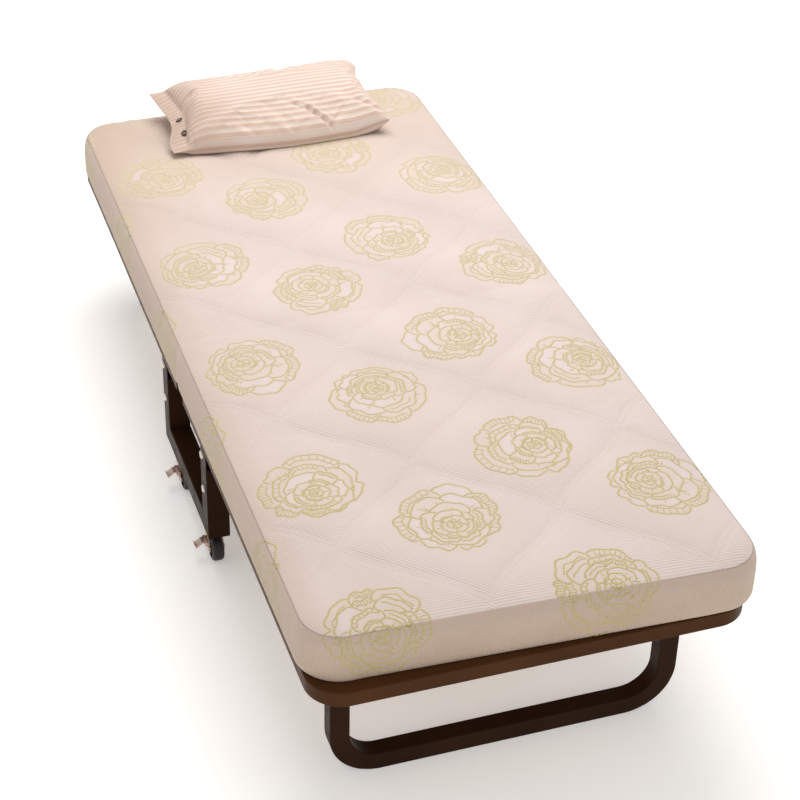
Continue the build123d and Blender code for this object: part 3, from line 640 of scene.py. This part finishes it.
def make_mattress():
    """The whole mattress cover, open below, with its flat-cloth and border maps."""
    xs, ys = stations(SEAM_X), stations(SEAM_Y)
    nx, ny = len(xs), len(ys)
    plan = [round_corner(x, y) for x in xs for y in ys]
    points = [(x, y, float(top_height(x, y))) for x, y in plan]
    faces = [
        (i * ny + j, (i + 1) * ny + j, (i + 1) * ny + j + 1, i * ny + j + 1)
        for i in range(nx - 1) for j in range(ny - 1)
    ]
    loop = [i * ny for i in range(nx)] + [(nx - 1) * ny + j for j in range(1, ny)]
    loop += [i * ny + ny - 1 for i in range(nx - 2, -1, -1)] + [j for j in range(ny - 2, 0, -1)]
    n = len(loop)
    top_faces = len(faces)
    length, down = [0.0], [0.0]
    for k in range(n):
        length.append(length[-1] + math.dist(plan[loop[k]], plan[loop[(k + 1) % n]]))
    for a, b in zip(BORDER_PROFILE, BORDER_PROFILE[1:]):
        down.append(down[-1] + math.dist(a, b))
    flat = list(plan)
    rings = [loop]
    for (offset, z), gone in list(zip(BORDER_PROFILE, down))[1:]:
        ring = []
        for k in loop:
            x, y = plan[k]
            d = outward(x, y)
            dent = 3.2 * MM * hump(y - FOLD_Y, 8 * MM) * abs(d.x) * min(1, gone / (12 * MM))
            ring.append(len(points))
            points.append((x + d.x * (offset - dent), y + d.y * (offset - dent), z))
            flat.append((x + d.x * gone, y + d.y * gone))
        rings.append(ring)
    border_map = []
    for r in range(len(rings) - 1):
        for k in range(n):
            m = (k + 1) % n
            faces.append((rings[r][k], rings[r + 1][k], rings[r + 1][m], rings[r][m]))
            border_map.append([
                (length[k], -down[r]), (length[k], -down[r + 1]),
                (length[k + 1], -down[r + 1]), (length[k + 1], -down[r]),
            ])
    obj = new_object("mattress_cover", points, faces, TICKING)
    mesh = obj.data
    mesh.materials.append(BORDER)
    cloth = mesh.uv_layers.new(name="cloth")
    border = mesh.uv_layers.new(name="border")
    for polygon in mesh.polygons:
        side = polygon.index >= top_faces
        polygon.material_index = int(side)
        for corner, loop_index in enumerate(polygon.loop_indices):
            cloth.uv[loop_index].vector = flat[mesh.loops[loop_index].vertex_index]
            on_border = border_map[polygon.index - top_faces][corner] if side else (0, 0)
            border.uv[loop_index].vector = on_border
    return obj


def pad_cover(obj):
    """Puffs the top up between its stitched lines."""
    rest = coords(obj.data)
    inside = -seam_distance(rest[:, 0], rest[:, 1])
    to_stitch = quilt_lines(rest[:, 0], rest[:, 1])
    is_top = (inside > 1 * MM) & (rest[:, 2] > SEAM_Z - 1 * MM)
    pinned = np.where(is_top, np.clip(hump(to_stitch, 9 * MM) + hump(inside, 8 * MM), 0, 1), 1.0)
    inflate(obj, pinned, frames=14, pressure=1.2, cap=4.0 * MM, spare=0.0015)


def stitch_down(obj):
    """Draws the stitched grooves and the fold's dip into the top, and sets the pad askew."""
    fine = coords(obj.data)
    x, y = fine[:, 0], fine[:, 1]
    inside = -seam_distance(x, y)
    to_stitch = quilt_lines(x, y)
    on_top = smooth(2 * MM, 14 * MM, inside) * (fine[:, 2] > SEAM_Z - 1 * MM)
    groove = 0.9 * hump(to_stitch, 16 * MM) + 1.2 * hump(to_stitch - 6 * MM, 2.6 * MM)
    fine[:, 2] -= groove * MM * on_top
    fine[:, 2] -= 1.5 * MM * hump(y - FOLD_Y, 12 * MM) * on_top
    set_coords(obj.data, askew(fine))


cover = make_mattress()
pad_cover(cover)
refine(cover)
stitch_down(cover)


# ---------------------------------------------------------------- woven flowers

PETAL_FOOT = 0.42                                  # a petal's reach at its sides, as a share
# Petals in a ring, their reach in mm, and how far the ring's middle moves to the bud.
RINGS = [(7, 93, 0.0), (6, 75, 0.35), (5, 57, 0.7), (5, 40, 1.0), (4, 25, 1.0), (3, 13, 1.0)]
KINDS = ("smooth", "smooth", "rimmed", "folded", "hatched", "hatched")     # repeated for their odds
RIM_SCALE = 0.84
OUTLINE, RIM, FOLD, HATCH = 7.0, 5.4, 4.8, 3.8     # line widths, mm
HAZE, HAZE_WIDTH = 0.75, 4.2                       # its strength, and its reach from a line in mm
THREAD_HEIGHT = 0.3 * MM


def petal(middle, turn, half, reach, dice):
    """A fan-shaped petal round a point of the flower's plane, in mm: its edge and a scale of that edge."""
    phase, bend = dice.uniform(0, math.tau), dice.uniform(-0.25, 0.25)

    def edge(scale, start=-1.0, stop=1.0, count=34):
        u = np.linspace(start, stop, count)
        round_off = PETAL_FOOT + (1 - PETAL_FOOT) * (1 - np.abs(u) ** 3.6) ** 0.45
        ripple = 1 + 0.022 * np.sin(3.2 * math.pi * u + phase) + 0.02 * np.sin(7.1 * u + 2 * phase)
        angle = turn + half * (u + bend * (1 - u * u) * 0.6)
        radius = reach * round_off * ripple * scale
        return np.stack([middle[0] + radius * np.cos(angle), middle[1] + radius * np.sin(angle)], axis=1)

    return edge


def within(points, polygon):
    """Which points lie inside a polygon."""
    hit = np.zeros(len(points), bool)
    px, py = points[:, 0], points[:, 1]
    for (x0, y0), (x1, y1) in zip(polygon, np.roll(polygon, -1, axis=0)):
        if y0 != y1:
            hit ^= ((y0 > py) != (y1 > py)) & (px < (x1 - x0) * (py - y0) / (y1 - y0) + x0)
    return hit


def resample(line, step=4.0):
    """Points along a line, about a step apart."""
    line = np.asarray(line, float)
    gone = np.concatenate([[0], np.cumsum(np.linalg.norm(np.diff(line, axis=0), axis=1))])
    count = max(3, int(gone[-1] / step) + 1)
    at = np.linspace(0, gone[-1], count)
    return np.stack([np.interp(at, gone, line[:, 0]), np.interp(at, gone, line[:, 1])], axis=1)


def make_flower(seed):
    """Layers of petals from the back: each is its outline, its own lines and its tint."""
    dice = random.Random(seed)
    lean = dice.uniform(0, math.tau)
    bud = np.array([math.cos(lean), math.sin(lean)]) * dice.uniform(16, 26)
    layers = []
    for number, (count, reach, towards) in enumerate(RINGS):
        shares = [dice.uniform(0.55, 1.5) for _ in range(count)]
        turn = dice.uniform(0, math.tau)
        ring = []
        for share in shares:
            half = math.pi * share / sum(shares)
            turn += half
            edge = petal(bud * towards, turn, half * 1.3, reach * dice.uniform(0.92, 1.02), dice)
            turn += half
            outline = np.concatenate([edge(1.0), edge(0.12, 1.0, -1.0, 3)])
            lines = [(np.concatenate([outline, outline[:1]]), OUTLINE)]
            kind = dice.choice(KINDS)
            if number == len(RINGS) - 1:
                kind = "smooth"
            start, stop = dice.uniform(-0.85, -0.5), dice.uniform(0.3, 0.85)
            if kind in ("rimmed", "hatched"):
                lines.append((edge(RIM_SCALE, start, stop, 20), RIM))
            if kind == "hatched":
                outer, inner = edge(1.0, start, stop, 8), edge(RIM_SCALE, start, stop, 8)
                lines += [(np.array([a, b]), HATCH) for a, b in zip(outer, inner)]
            if kind in ("folded", "smooth"):
                for _ in range(3 if kind == "folded" else 1):
                    at, far = dice.uniform(-0.6, 0.6), dice.uniform(0.72, 0.9)
                    sway = dice.uniform(-0.16, 0.16)
                    fold = [
                        edge(k, at + sway * math.sin(4 * k), 1.0, 2)[0] for k in np.linspace(0.5, far, 6)
                    ]
                    lines.append((np.array(fold), FOLD))
            tint = -0.5 if kind == "smooth" and number < 3 else dice.choice((0.0, 0.15, 0.3))
            ring.append((outline, lines, tint))
        dice.shuffle(ring)
        layers += ring
    swirl = np.linspace(0, 8.5, 22)
    swirl = bud + np.stack([np.cos(swirl), np.sin(swirl)], axis=1) * (1.2 + 0.8 * swirl)[:, None]
    layers.append((swirl[:1] + np.zeros((3, 2)), [(swirl, RIM)], 0.3))
    return layers


def flower_strokes(layers):
    """The lines that show, as (points, width in mm)."""
    shown = []
    for k, (_, lines, _) in enumerate(layers):
        for line, width in lines:
            line = resample(line)
            seen = np.ones(len(line), bool)
            for over, _, _ in layers[k + 1:]:
                seen &= ~within(line, over)
            for run in runs(line, seen):
                if len(run) > 2 or (len(run) == 2 and width < RIM):
                    shown.append((np.array(run), width))
    return shown


def flower_tint(layers, strokes, points):
    """The cloth's tint: up to 0.75 in the yellow haze round the lines, down to -0.5 in the pale petals."""
    tint = np.zeros(len(points))
    for outline, _, own in layers:
        tint[within(points, outline)] = own
    drawn = np.concatenate([line for line, _ in strokes])
    gap = np.full(len(points), 99.0)
    for start in range(0, len(drawn), 400):
        part = drawn[start:start + 400]
        gap = np.minimum(gap, np.linalg.norm(points[:, None] - part[None], axis=2).min(axis=1))
    return tint + (HAZE - np.minimum(tint, 0.4)) * hump(gap, HAZE_WIDTH)


DESIGNS = [make_flower(seed) for seed in (11, 29, 47, 83)]
STROKES = [flower_strokes(layers) for layers in DESIGNS]
FLOWER_COLUMNS = (-0.475, -0.278, -0.079, 0.116, 0.317, 0.515)
FIRST_ROWS = (-0.706, -0.940)     # of the even and the odd columns
ROWS = 6
FLOWER_TURNS = (0, 168, 96, 245)
FLOWER_REACH = 0.11
# The cloth's way from the top, over the roll and down the border.
ROLL = [(-30 * MM, PAD_HIGH.z), (-14 * MM, PAD_HIGH.z - 2 * MM), (-4 * MM, PAD_HIGH.z - 7 * MM)]
ROLL += BORDER_PROFILE
ROLL_GONE = [0.0]
for a, b in zip(ROLL, ROLL[1:]):
    ROLL_GONE.append(ROLL_GONE[-1] + math.dist(a, b))
CLOTH_END = ROLL_GONE[-1] + ROLL[0][0] - 8 * MM
cover_tree = surface(cover)


def flower_places():
    """Each flower on the flat cloth: x, y, design, turn, and whether it is mirrored."""
    places = []
    for column, x in enumerate(FLOWER_COLUMNS):
        for row in range(ROWS):
            y = FIRST_ROWS[column % 2] + 2 * FLOWER_PITCH[1] * row
            design = (row + 2 * column) % len(DESIGNS)
            turn = math.radians(FLOWER_TURNS[(column + row) % len(FLOWER_TURNS)])
            places.append((x, y, design, turn, (column * 5 + row) % 3 == 1))
    return places


def lay(x, y):
    """A point of the flat cloth, laid on the mattress: its place and the surface's normal there."""
    out = float(seam_distance(x, y))
    if out < ROLL[0][0]:
        guess = Vector((x, y, PAD_HIGH.z))
    else:
        d = outward(x, y)
        gone = out - ROLL[0][0]
        offset = np.interp(gone, ROLL_GONE, [p[0] for p in ROLL])
        z = np.interp(gone, ROLL_GONE, [p[1] for p in ROLL])
        guess = Vector((x, y, 0)) + d * (offset - out)
        guess.z = z
    guess = Vector(askew(np.array([guess]))[0])
    place, normal, _, _ = cover_tree.find_nearest(guess)
    return place, normal


def lay_flowers(places):
    """The flowers' lines as ribbons on the cover, gathered for each half of the pad."""
    strips = {end: Strips() for end in ENDS}
    for fx, fy, design, turn, mirrored in places:
        c, s = math.cos(turn) * MM, math.sin(turn) * MM
        for line, width in STROKES[design]:
            flat = np.stack([
                fx + (line[:, 0] * c - line[:, 1] * s) * (-1 if mirrored else 1),
                fy + line[:, 0] * s + line[:, 1] * c,
            ], axis=1)
            on_cloth = seam_distance(flat[:, 0], flat[:, 1]) < CLOTH_END
            at_foot = flat[:, 1] < FOLD_Y
            for end, own in (("foot", at_foot), ("head", ~at_foot)):
                for run in runs(flat, on_cloth & own):
                    if len(run) > 1:
                        laid, normals = zip(*(lay(*point) for point in run))
                        strips[end].ribbon(laid, normals, width * MM, THREAD_HEIGHT)
    return strips


def tint_cloth(mesh, places):
    """Stores the flowers' haze in the cloth as the motif attribute."""
    cloth_map = np.zeros(len(mesh.loops) * 2, np.float32)
    mesh.uv_layers["cloth"].uv.foreach_get("vector", cloth_map)
    loop_points = np.zeros(len(mesh.loops), np.int32)
    mesh.loops.foreach_get("vertex_index", loop_points)
    flat = np.zeros((len(mesh.vertices), 2))
    flat[loop_points] = cloth_map.reshape(-1, 2)
    tint = np.zeros(len(flat))
    for fx, fy, design, turn, mirrored in places:
        near = np.nonzero(np.hypot(flat[:, 0] - fx, flat[:, 1] - fy) < FLOWER_REACH)[0]
        d = (flat[near] - (fx, fy)) / MM
        if mirrored:
            d[:, 0] *= -1
        c, s = math.cos(turn), math.sin(turn)
        local = np.stack([d[:, 0] * c + d[:, 1] * s, -d[:, 0] * s + d[:, 1] * c], axis=1)
        tint[near] = flower_tint(DESIGNS[design], STROKES[design], local)
    motif = mesh.attributes.new("motif", "FLOAT", "POINT")
    motif.data.foreach_set("value", tint.astype(np.float32))


flowers = flower_places()
strips = lay_flowers(flowers)
tint_cloth(cover.data, flowers)


# ---------------------------------------------------------------- the cover in two halves

def half_of(obj, name, keep_low):
    """A closed copy of the cover's part on one side of the fold line."""
    bm = bmesh.new()
    bm.from_mesh(obj.data)
    bmesh.ops.edgeloop_fill(bm, edges=[e for e in bm.edges if e.is_boundary], mat_nr=1)
    cut = bmesh.ops.bisect_plane(
        bm, geom=bm.verts[:] + bm.edges[:] + bm.faces[:], plane_co=(0, FOLD_Y, 0),
        plane_no=(0, 1, 0), clear_outer=keep_low, clear_inner=not keep_low,
    )
    edges = [g for g in cut["geom_cut"] if isinstance(g, bmesh.types.BMEdge)]
    filled = bmesh.ops.edgeloop_fill(bm, edges=edges, mat_nr=1)
    for face in filled["faces"]:
        face.smooth = False
    for edge in edges:
        edge.smooth = False
    bmesh.ops.recalc_face_normals(bm, faces=bm.faces[:])
    mesh = bpy.data.meshes.new(name)
    bm.to_mesh(mesh)
    bm.free()
    for material in obj.data.materials:
        mesh.materials.append(material)
    half = bpy.data.objects.new(name, mesh)
    SCENE.collection.objects.link(half)
    return half


FLOWER_THREAD = flower_thread()
SEAM_TAPE = thread("seam_cord", (0.29, 0.23, 0.195), (0.42, 0.345, 0.30))
SEAM_RADIUS = 1.0 * MM


def seam_of(end):
    """Half of the seam's line, from the fold round one end and back to the fold."""
    sign = -1 if end == "foot" else 1
    line = [(sign * SEAM_X, FOLD_Y)]
    for corner, first in ((1, 0), (-1, 90)):
        for k in range(13):
            a = math.radians(first + 7.5 * k)
            line.append((
                sign * (corner * (SEAM_X - CORNER) + CORNER * math.cos(a)),
                sign * (SEAM_Y - CORNER + CORNER * math.sin(a)),
            ))
    line.append((-sign * SEAM_X, FOLD_Y))
    dense = []
    for a, b in zip(line, line[1:]):
        steps = max(1, int(math.dist(a, b) / (12 * MM)))
        dense += [
            (a[0] + (b[0] - a[0]) * k / steps, a[1] + (b[1] - a[1]) * k / steps) for k in range(steps)
        ]
    dense.append(line[-1])
    path = askew(np.array([(MID_X + px, py, SEAM_Z - 0.4 * MM) for px, py in dense]))
    path[:, 0] -= 1.6 * MM * hump(path[:, 1] - FOLD_Y, 8 * MM) * np.sign(path[:, 0])
    return path


for end in ENDS:
    body, joint = f"{end}_deck", f"fold_{end}"
    half = half_of(cover, f"mattress_{end}_half", end == "foot")
    blossom = strips[end].object(f"woven_flowers_{end}", FLOWER_THREAD)
    seam = Strips()
    seam.tube(seam_of(end), SEAM_RADIUS)
    cord = seam.object(f"seam_cord_{end}", SEAM_TAPE)
    finish_piece(half, body, "mattress_fabric", f"mattress_{end}", f"mattress_fold_{end}")
    finish_piece(blossom, body, "mattress_fabric")
    finish_piece(cord, body, "mattress_fabric")
    for piece in (half, blossom, cord):
        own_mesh(piece)
bpy.data.objects.remove(cover)


# ---------------------------------------------------------------- pillow

pillow_low, pillow_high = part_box("pillow")
PILLOW_AT = (pillow_low + pillow_high) / 2
PILLOW_AT.z = pillow_low.z + 1.5 * MM
PILLOW_TURN = math.radians(2.6)
PILLOW_PLACE = Matrix.Translation(PILLOW_AT) @ Matrix.Rotation(PILLOW_TURN, 4, "Z")
PILLOW_SIZE = (500 * MM, 290 * MM, 103 * MM)
HEM = 40 * MM             # the open end's sewn strip
CASE_LONG, CASE_WIDE = 532 * MM, 330 * MM
CASE_GRID = (106, 66)
REST_LEVEL = -34 * MM     # where the underside flattens on the mattress


def make_case():
    """The pillow case laid flat: two sheets joined at their edges."""
    nu, nv = CASE_GRID
    us = np.linspace(-CASE_LONG / 2, CASE_LONG / 2, nu)
    vs = np.linspace(-CASE_WIDE / 2, CASE_WIDE / 2, nv)
    points, flat, sheets = [], [], [{}, {}]
    for side in (0, 1):
        for i, u in enumerate(us):
            for j, v in enumerate(vs):
                edge = i in (0, nu - 1) or j in (0, nv - 1)
                if edge and side:
                    sheets[1][i, j] = sheets[0][i, j]
                    continue
                lift = (1 - (2 * u / CASE_LONG) ** 2) * (1 - (2 * v / CASE_WIDE) ** 2)
                sheets[side][i, j] = len(points)
                points.append((u, v, (-1 if side else 1) * 14 * MM * lift))
                flat.append((u, v))
    faces = []
    for side in (0, 1):
        s = sheets[side]
        for i in range(nu - 1):
            for j in range(nv - 1):
                face = (s[i, j], s[i + 1, j], s[i + 1, j + 1], s[i, j + 1])
                faces.append(face[::-1] if side else face)
    sewn = [
        (sheets[0][i, j], sheets[1][i, j])
        for i, u in enumerate(us) for j in range(1, nv - 1)
        if 0 < i and u < -CASE_LONG / 2 + HEM
    ]
    obj = new_object("pillow_case", points, faces, COTTON)
    cloth = obj.data.uv_layers.new(name="cloth")
    for loop in obj.data.loops:
        cloth.uv[loop.index].vector = flat[loop.vertex_index]
    return obj, np.array(flat), sewn


def smoothed(points, edges, passes):
    """Points moved towards the mean of their neighbours, over and over."""
    n = len(points)
    a, b = edges[:, 0], edges[:, 1]
    count = np.bincount(edges.ravel(), minlength=n)
    for _ in range(passes):
        sums = [np.bincount(a, points[b, k], n) + np.bincount(b, points[a, k], n) for k in range(3)]
        points = (points + np.stack(sums, axis=1) / count[:, None]) / 2
    return points


def stuffed_form(flat, upper):
    """The stuffed case's form: hollow short sides, a full front and a flat open end."""
    s, t = flat[:, 0] / (CASE_LONG / 2), flat[:, 1] / (CASE_WIDE / 2)
    form = np.zeros((len(s), 3))
    form[:, 0] = s * (1 - np.where(s > 0, 0.085, 0.05) * (1 - t ** 2) * np.abs(s) ** 3)
    form[:, 1] = t * (1 + np.where(t < 0, 0.05, -0.03) * (1 - s ** 2))
    swell = smooth(-1.0, -0.66, s) ** 0.8 * (1 - np.abs(s) ** 7) ** 0.5 * (1 - np.abs(t) ** 3) ** 0.55
    form[:, 2] = upper * (swell + 0.02 * (np.abs(s) < 1) * (np.abs(t) < 1))
    return form * np.array(PILLOW_SIZE) / 2


def wrinkles(obj, flat, sewn):
    """The small wrinkles of the simulated case, fading out at its edges."""
    inflate(obj, np.zeros(len(flat)), frames=40, pressure=4.5, cap=1.0, sewn=sewn)
    mesh = obj.data
    bm = bmesh.new()
    bm.from_mesh(mesh)
    bmesh.ops.delete(bm, geom=[e for e in bm.edges if not e.link_faces], context="EDGES")
    bm.to_mesh(mesh)
    bm.free()
    blown = coords(mesh)
    edges = np.zeros(len(mesh.edges) * 2, np.int32)
    mesh.edges.foreach_get("vertices", edges)
    small = np.clip(blown - smoothed(blown, edges.reshape(-1, 2), 30), -6 * MM, 6 * MM)
    s, t = flat[:, 0] / (CASE_LONG / 2), flat[:, 1] / (CASE_WIDE / 2)
    inner = smooth(0, 0.14, 1 - np.abs(s)) * smooth(0, 0.2, 1 - np.abs(t))
    return small * inner[:, None]


def settle(shape):
    """The stuffing settles to the front, the open end hangs a little and the underside flattens."""
    along, deep = shape[:, 0] / (PILLOW_SIZE[0] / 2), shape[:, 1] / (PILLOW_SIZE[1] / 2)
    front = smooth(0.1, -0.95, deep)
    shape[:, 2] -= 23 * MM * front * (1 - 0.6 * smooth(0.6, 1, along))
    shape[:, 1] += (17 * MM + 29 * MM * smooth(0.2, -0.9, along)) * front
    shape[:, 2] += 6 * MM * smooth(0.5, 1, deep) * smooth(-0.6, -1, along)
    shape[:, 0] -= 15 * MM * smooth(-0.6, -1, along) * hump(deep + 0.7, 0.4)
    shape[:, 0] += 13 * MM * smooth(0.2, 1, deep) * smooth(0.1, 1, along)
    under = shape[:, 2] < REST_LEVEL
    shape[under, 2] = REST_LEVEL + (shape[under, 2] - REST_LEVEL) * 0.12


def crease(points, start, stop, depth, width, ridge):
    """Presses a fold into the pillow's upper side, with a roll of cloth beside it."""
    (x0, y0), (x1, y1) = start, stop
    length = math.hypot(x1 - x0, y1 - y0)
    ux, uy = (x1 - x0) / length, (y1 - y0) / length
    t = ((points[:, 0] - x0) * ux + (points[:, 1] - y0) * uy) / length
    d = (points[:, 0] - x0) * uy - (points[:, 1] - y0) * ux
    share = smooth(-0.15, 0.25, t) * smooth(1.25, 0.9, t) * (points[:, 2] > REST_LEVEL / 2)
    points[:, 2] += share * (ridge * hump(d + 1.9 * width, 1.6 * width) - depth * hump(d, width))


# Start and end on the pillow's plan in metres, then depth, width and the height of the roll in mm.
CREASES = (
    ((0.054, -0.072), (0.104, -0.122), 8, 3.6, 3),
    ((0.028, -0.062), (0.052, -0.080), 4, 4, 2),
    ((0.175, -0.075), (0.230, -0.112), 3.5, 5, 2),
    ((-0.215, 0.020), (-0.165, 0.030), 3, 5, 2),
)

case, case_flat, hem_pairs = make_case()
form = stuffed_form(case_flat, np.sign(coords(case.data)[:, 2]))
form += wrinkles(case, case_flat, hem_pairs)
set_coords(case.data, form)
refine(case)

shape = coords(case.data)
settle(shape)
for start, stop, depth, width, ridge in CREASES:
    crease(shape, start, stop, depth * MM, width * MM, ridge * MM)
shape[:, 2] -= shape[:, 2].min()
shape[:, 2] *= PILLOW_SIZE[2] / shape[:, 2].max()
turned = np.array(PILLOW_PLACE.to_3x3())
set_coords(case.data, shape @ turned.T + np.array(PILLOW_PLACE.translation))
finish_piece(case, "pillow", "pillow_fabric", "pillow")
case_tree = surface(case)


def on_pillow(u, v):
    """The pillow's upper surface over a point of its plan, and the normal there."""
    above = PILLOW_PLACE @ Vector((u, v, 0.3))
    place, normal, _, _ = case_tree.ray_cast(above, Vector((0, 0, -1)))
    if place is None:
        place, normal, _, _ = case_tree.find_nearest(above)
    return place, normal


BUTTON_PROFILE = [(3.6, 1.3), (5.0, 1.9), (6.3, 2.6), (7.6, 2.3), (8.4, 1.2), (8.0, 0)]     # mm
BUTTON_SIDES = 28
BUTTON_U, BUTTON_VS = -0.2175, (-0.008, -0.050)     # on the pillow's plan, from its middle
HEM_STITCH_U, HEM_STITCH_V = -0.205, 0.105


def make_button(name, place, normal):
    """A turned button with a raised rim, sewn on with a cross of thread."""
    points, faces = [], []
    n = BUTTON_SIDES
    for radius, height in BUTTON_PROFILE:
        for k in range(n):
            a = math.tau * k / n
            points.append((radius * MM * math.cos(a), radius * MM * math.sin(a), height * MM))
    last = (len(BUTTON_PROFILE) - 1) * n
    for first in range(0, last, n):
        for k in range(n):
            m = (k + 1) % n
            faces.append((first + k, first + n + k, first + n + m, first + m))
    faces.append(tuple(range(n)))
    faces.append(tuple(range(last, last + n))[::-1])
    button = new_object(name, points, faces, BUTTON_HORN)
    cross = Strips()
    for dx, dy in ((1, 1), (1, -1)):
        line = [
            (dx * t * MM, dy * t * MM, (2.1 - 0.12 * t * t) * MM) for t in (-2.4, -1.2, 0, 1.2, 2.4)
        ]
        cross.tube(line, 0.5 * MM, 6)
    stitch = cross.object(name + "_thread", SEWING)
    for piece in (button, stitch):
        spin = Vector((0, 0, 1)).rotation_difference(normal).to_matrix().to_4x4()
        piece.data.transform(Matrix.Translation(place) @ spin)
        finish_piece(piece, "pillow", "pillow_fabric")


BUTTON_HORN = moulded("button_horn", (0.045, 0.02, 0.012), 0.35, 500)
SEWING = thread("sewing_thread", (0.42, 0.31, 0.24), (0.60, 0.48, 0.40))
for number, v in enumerate(BUTTON_VS):
    make_button(f"pillow_button_{number + 1}", *on_pillow(BUTTON_U, v))

hem = Strips()
stitches = np.linspace(-HEM_STITCH_V, HEM_STITCH_V, 60)
hem.tube([on_pillow(HEM_STITCH_U, v)[0] for v in stitches], 0.7 * MM, 6)
finish_piece(hem.object("pillow_hem_stitching", SEWING), "pillow", "pillow_fabric")
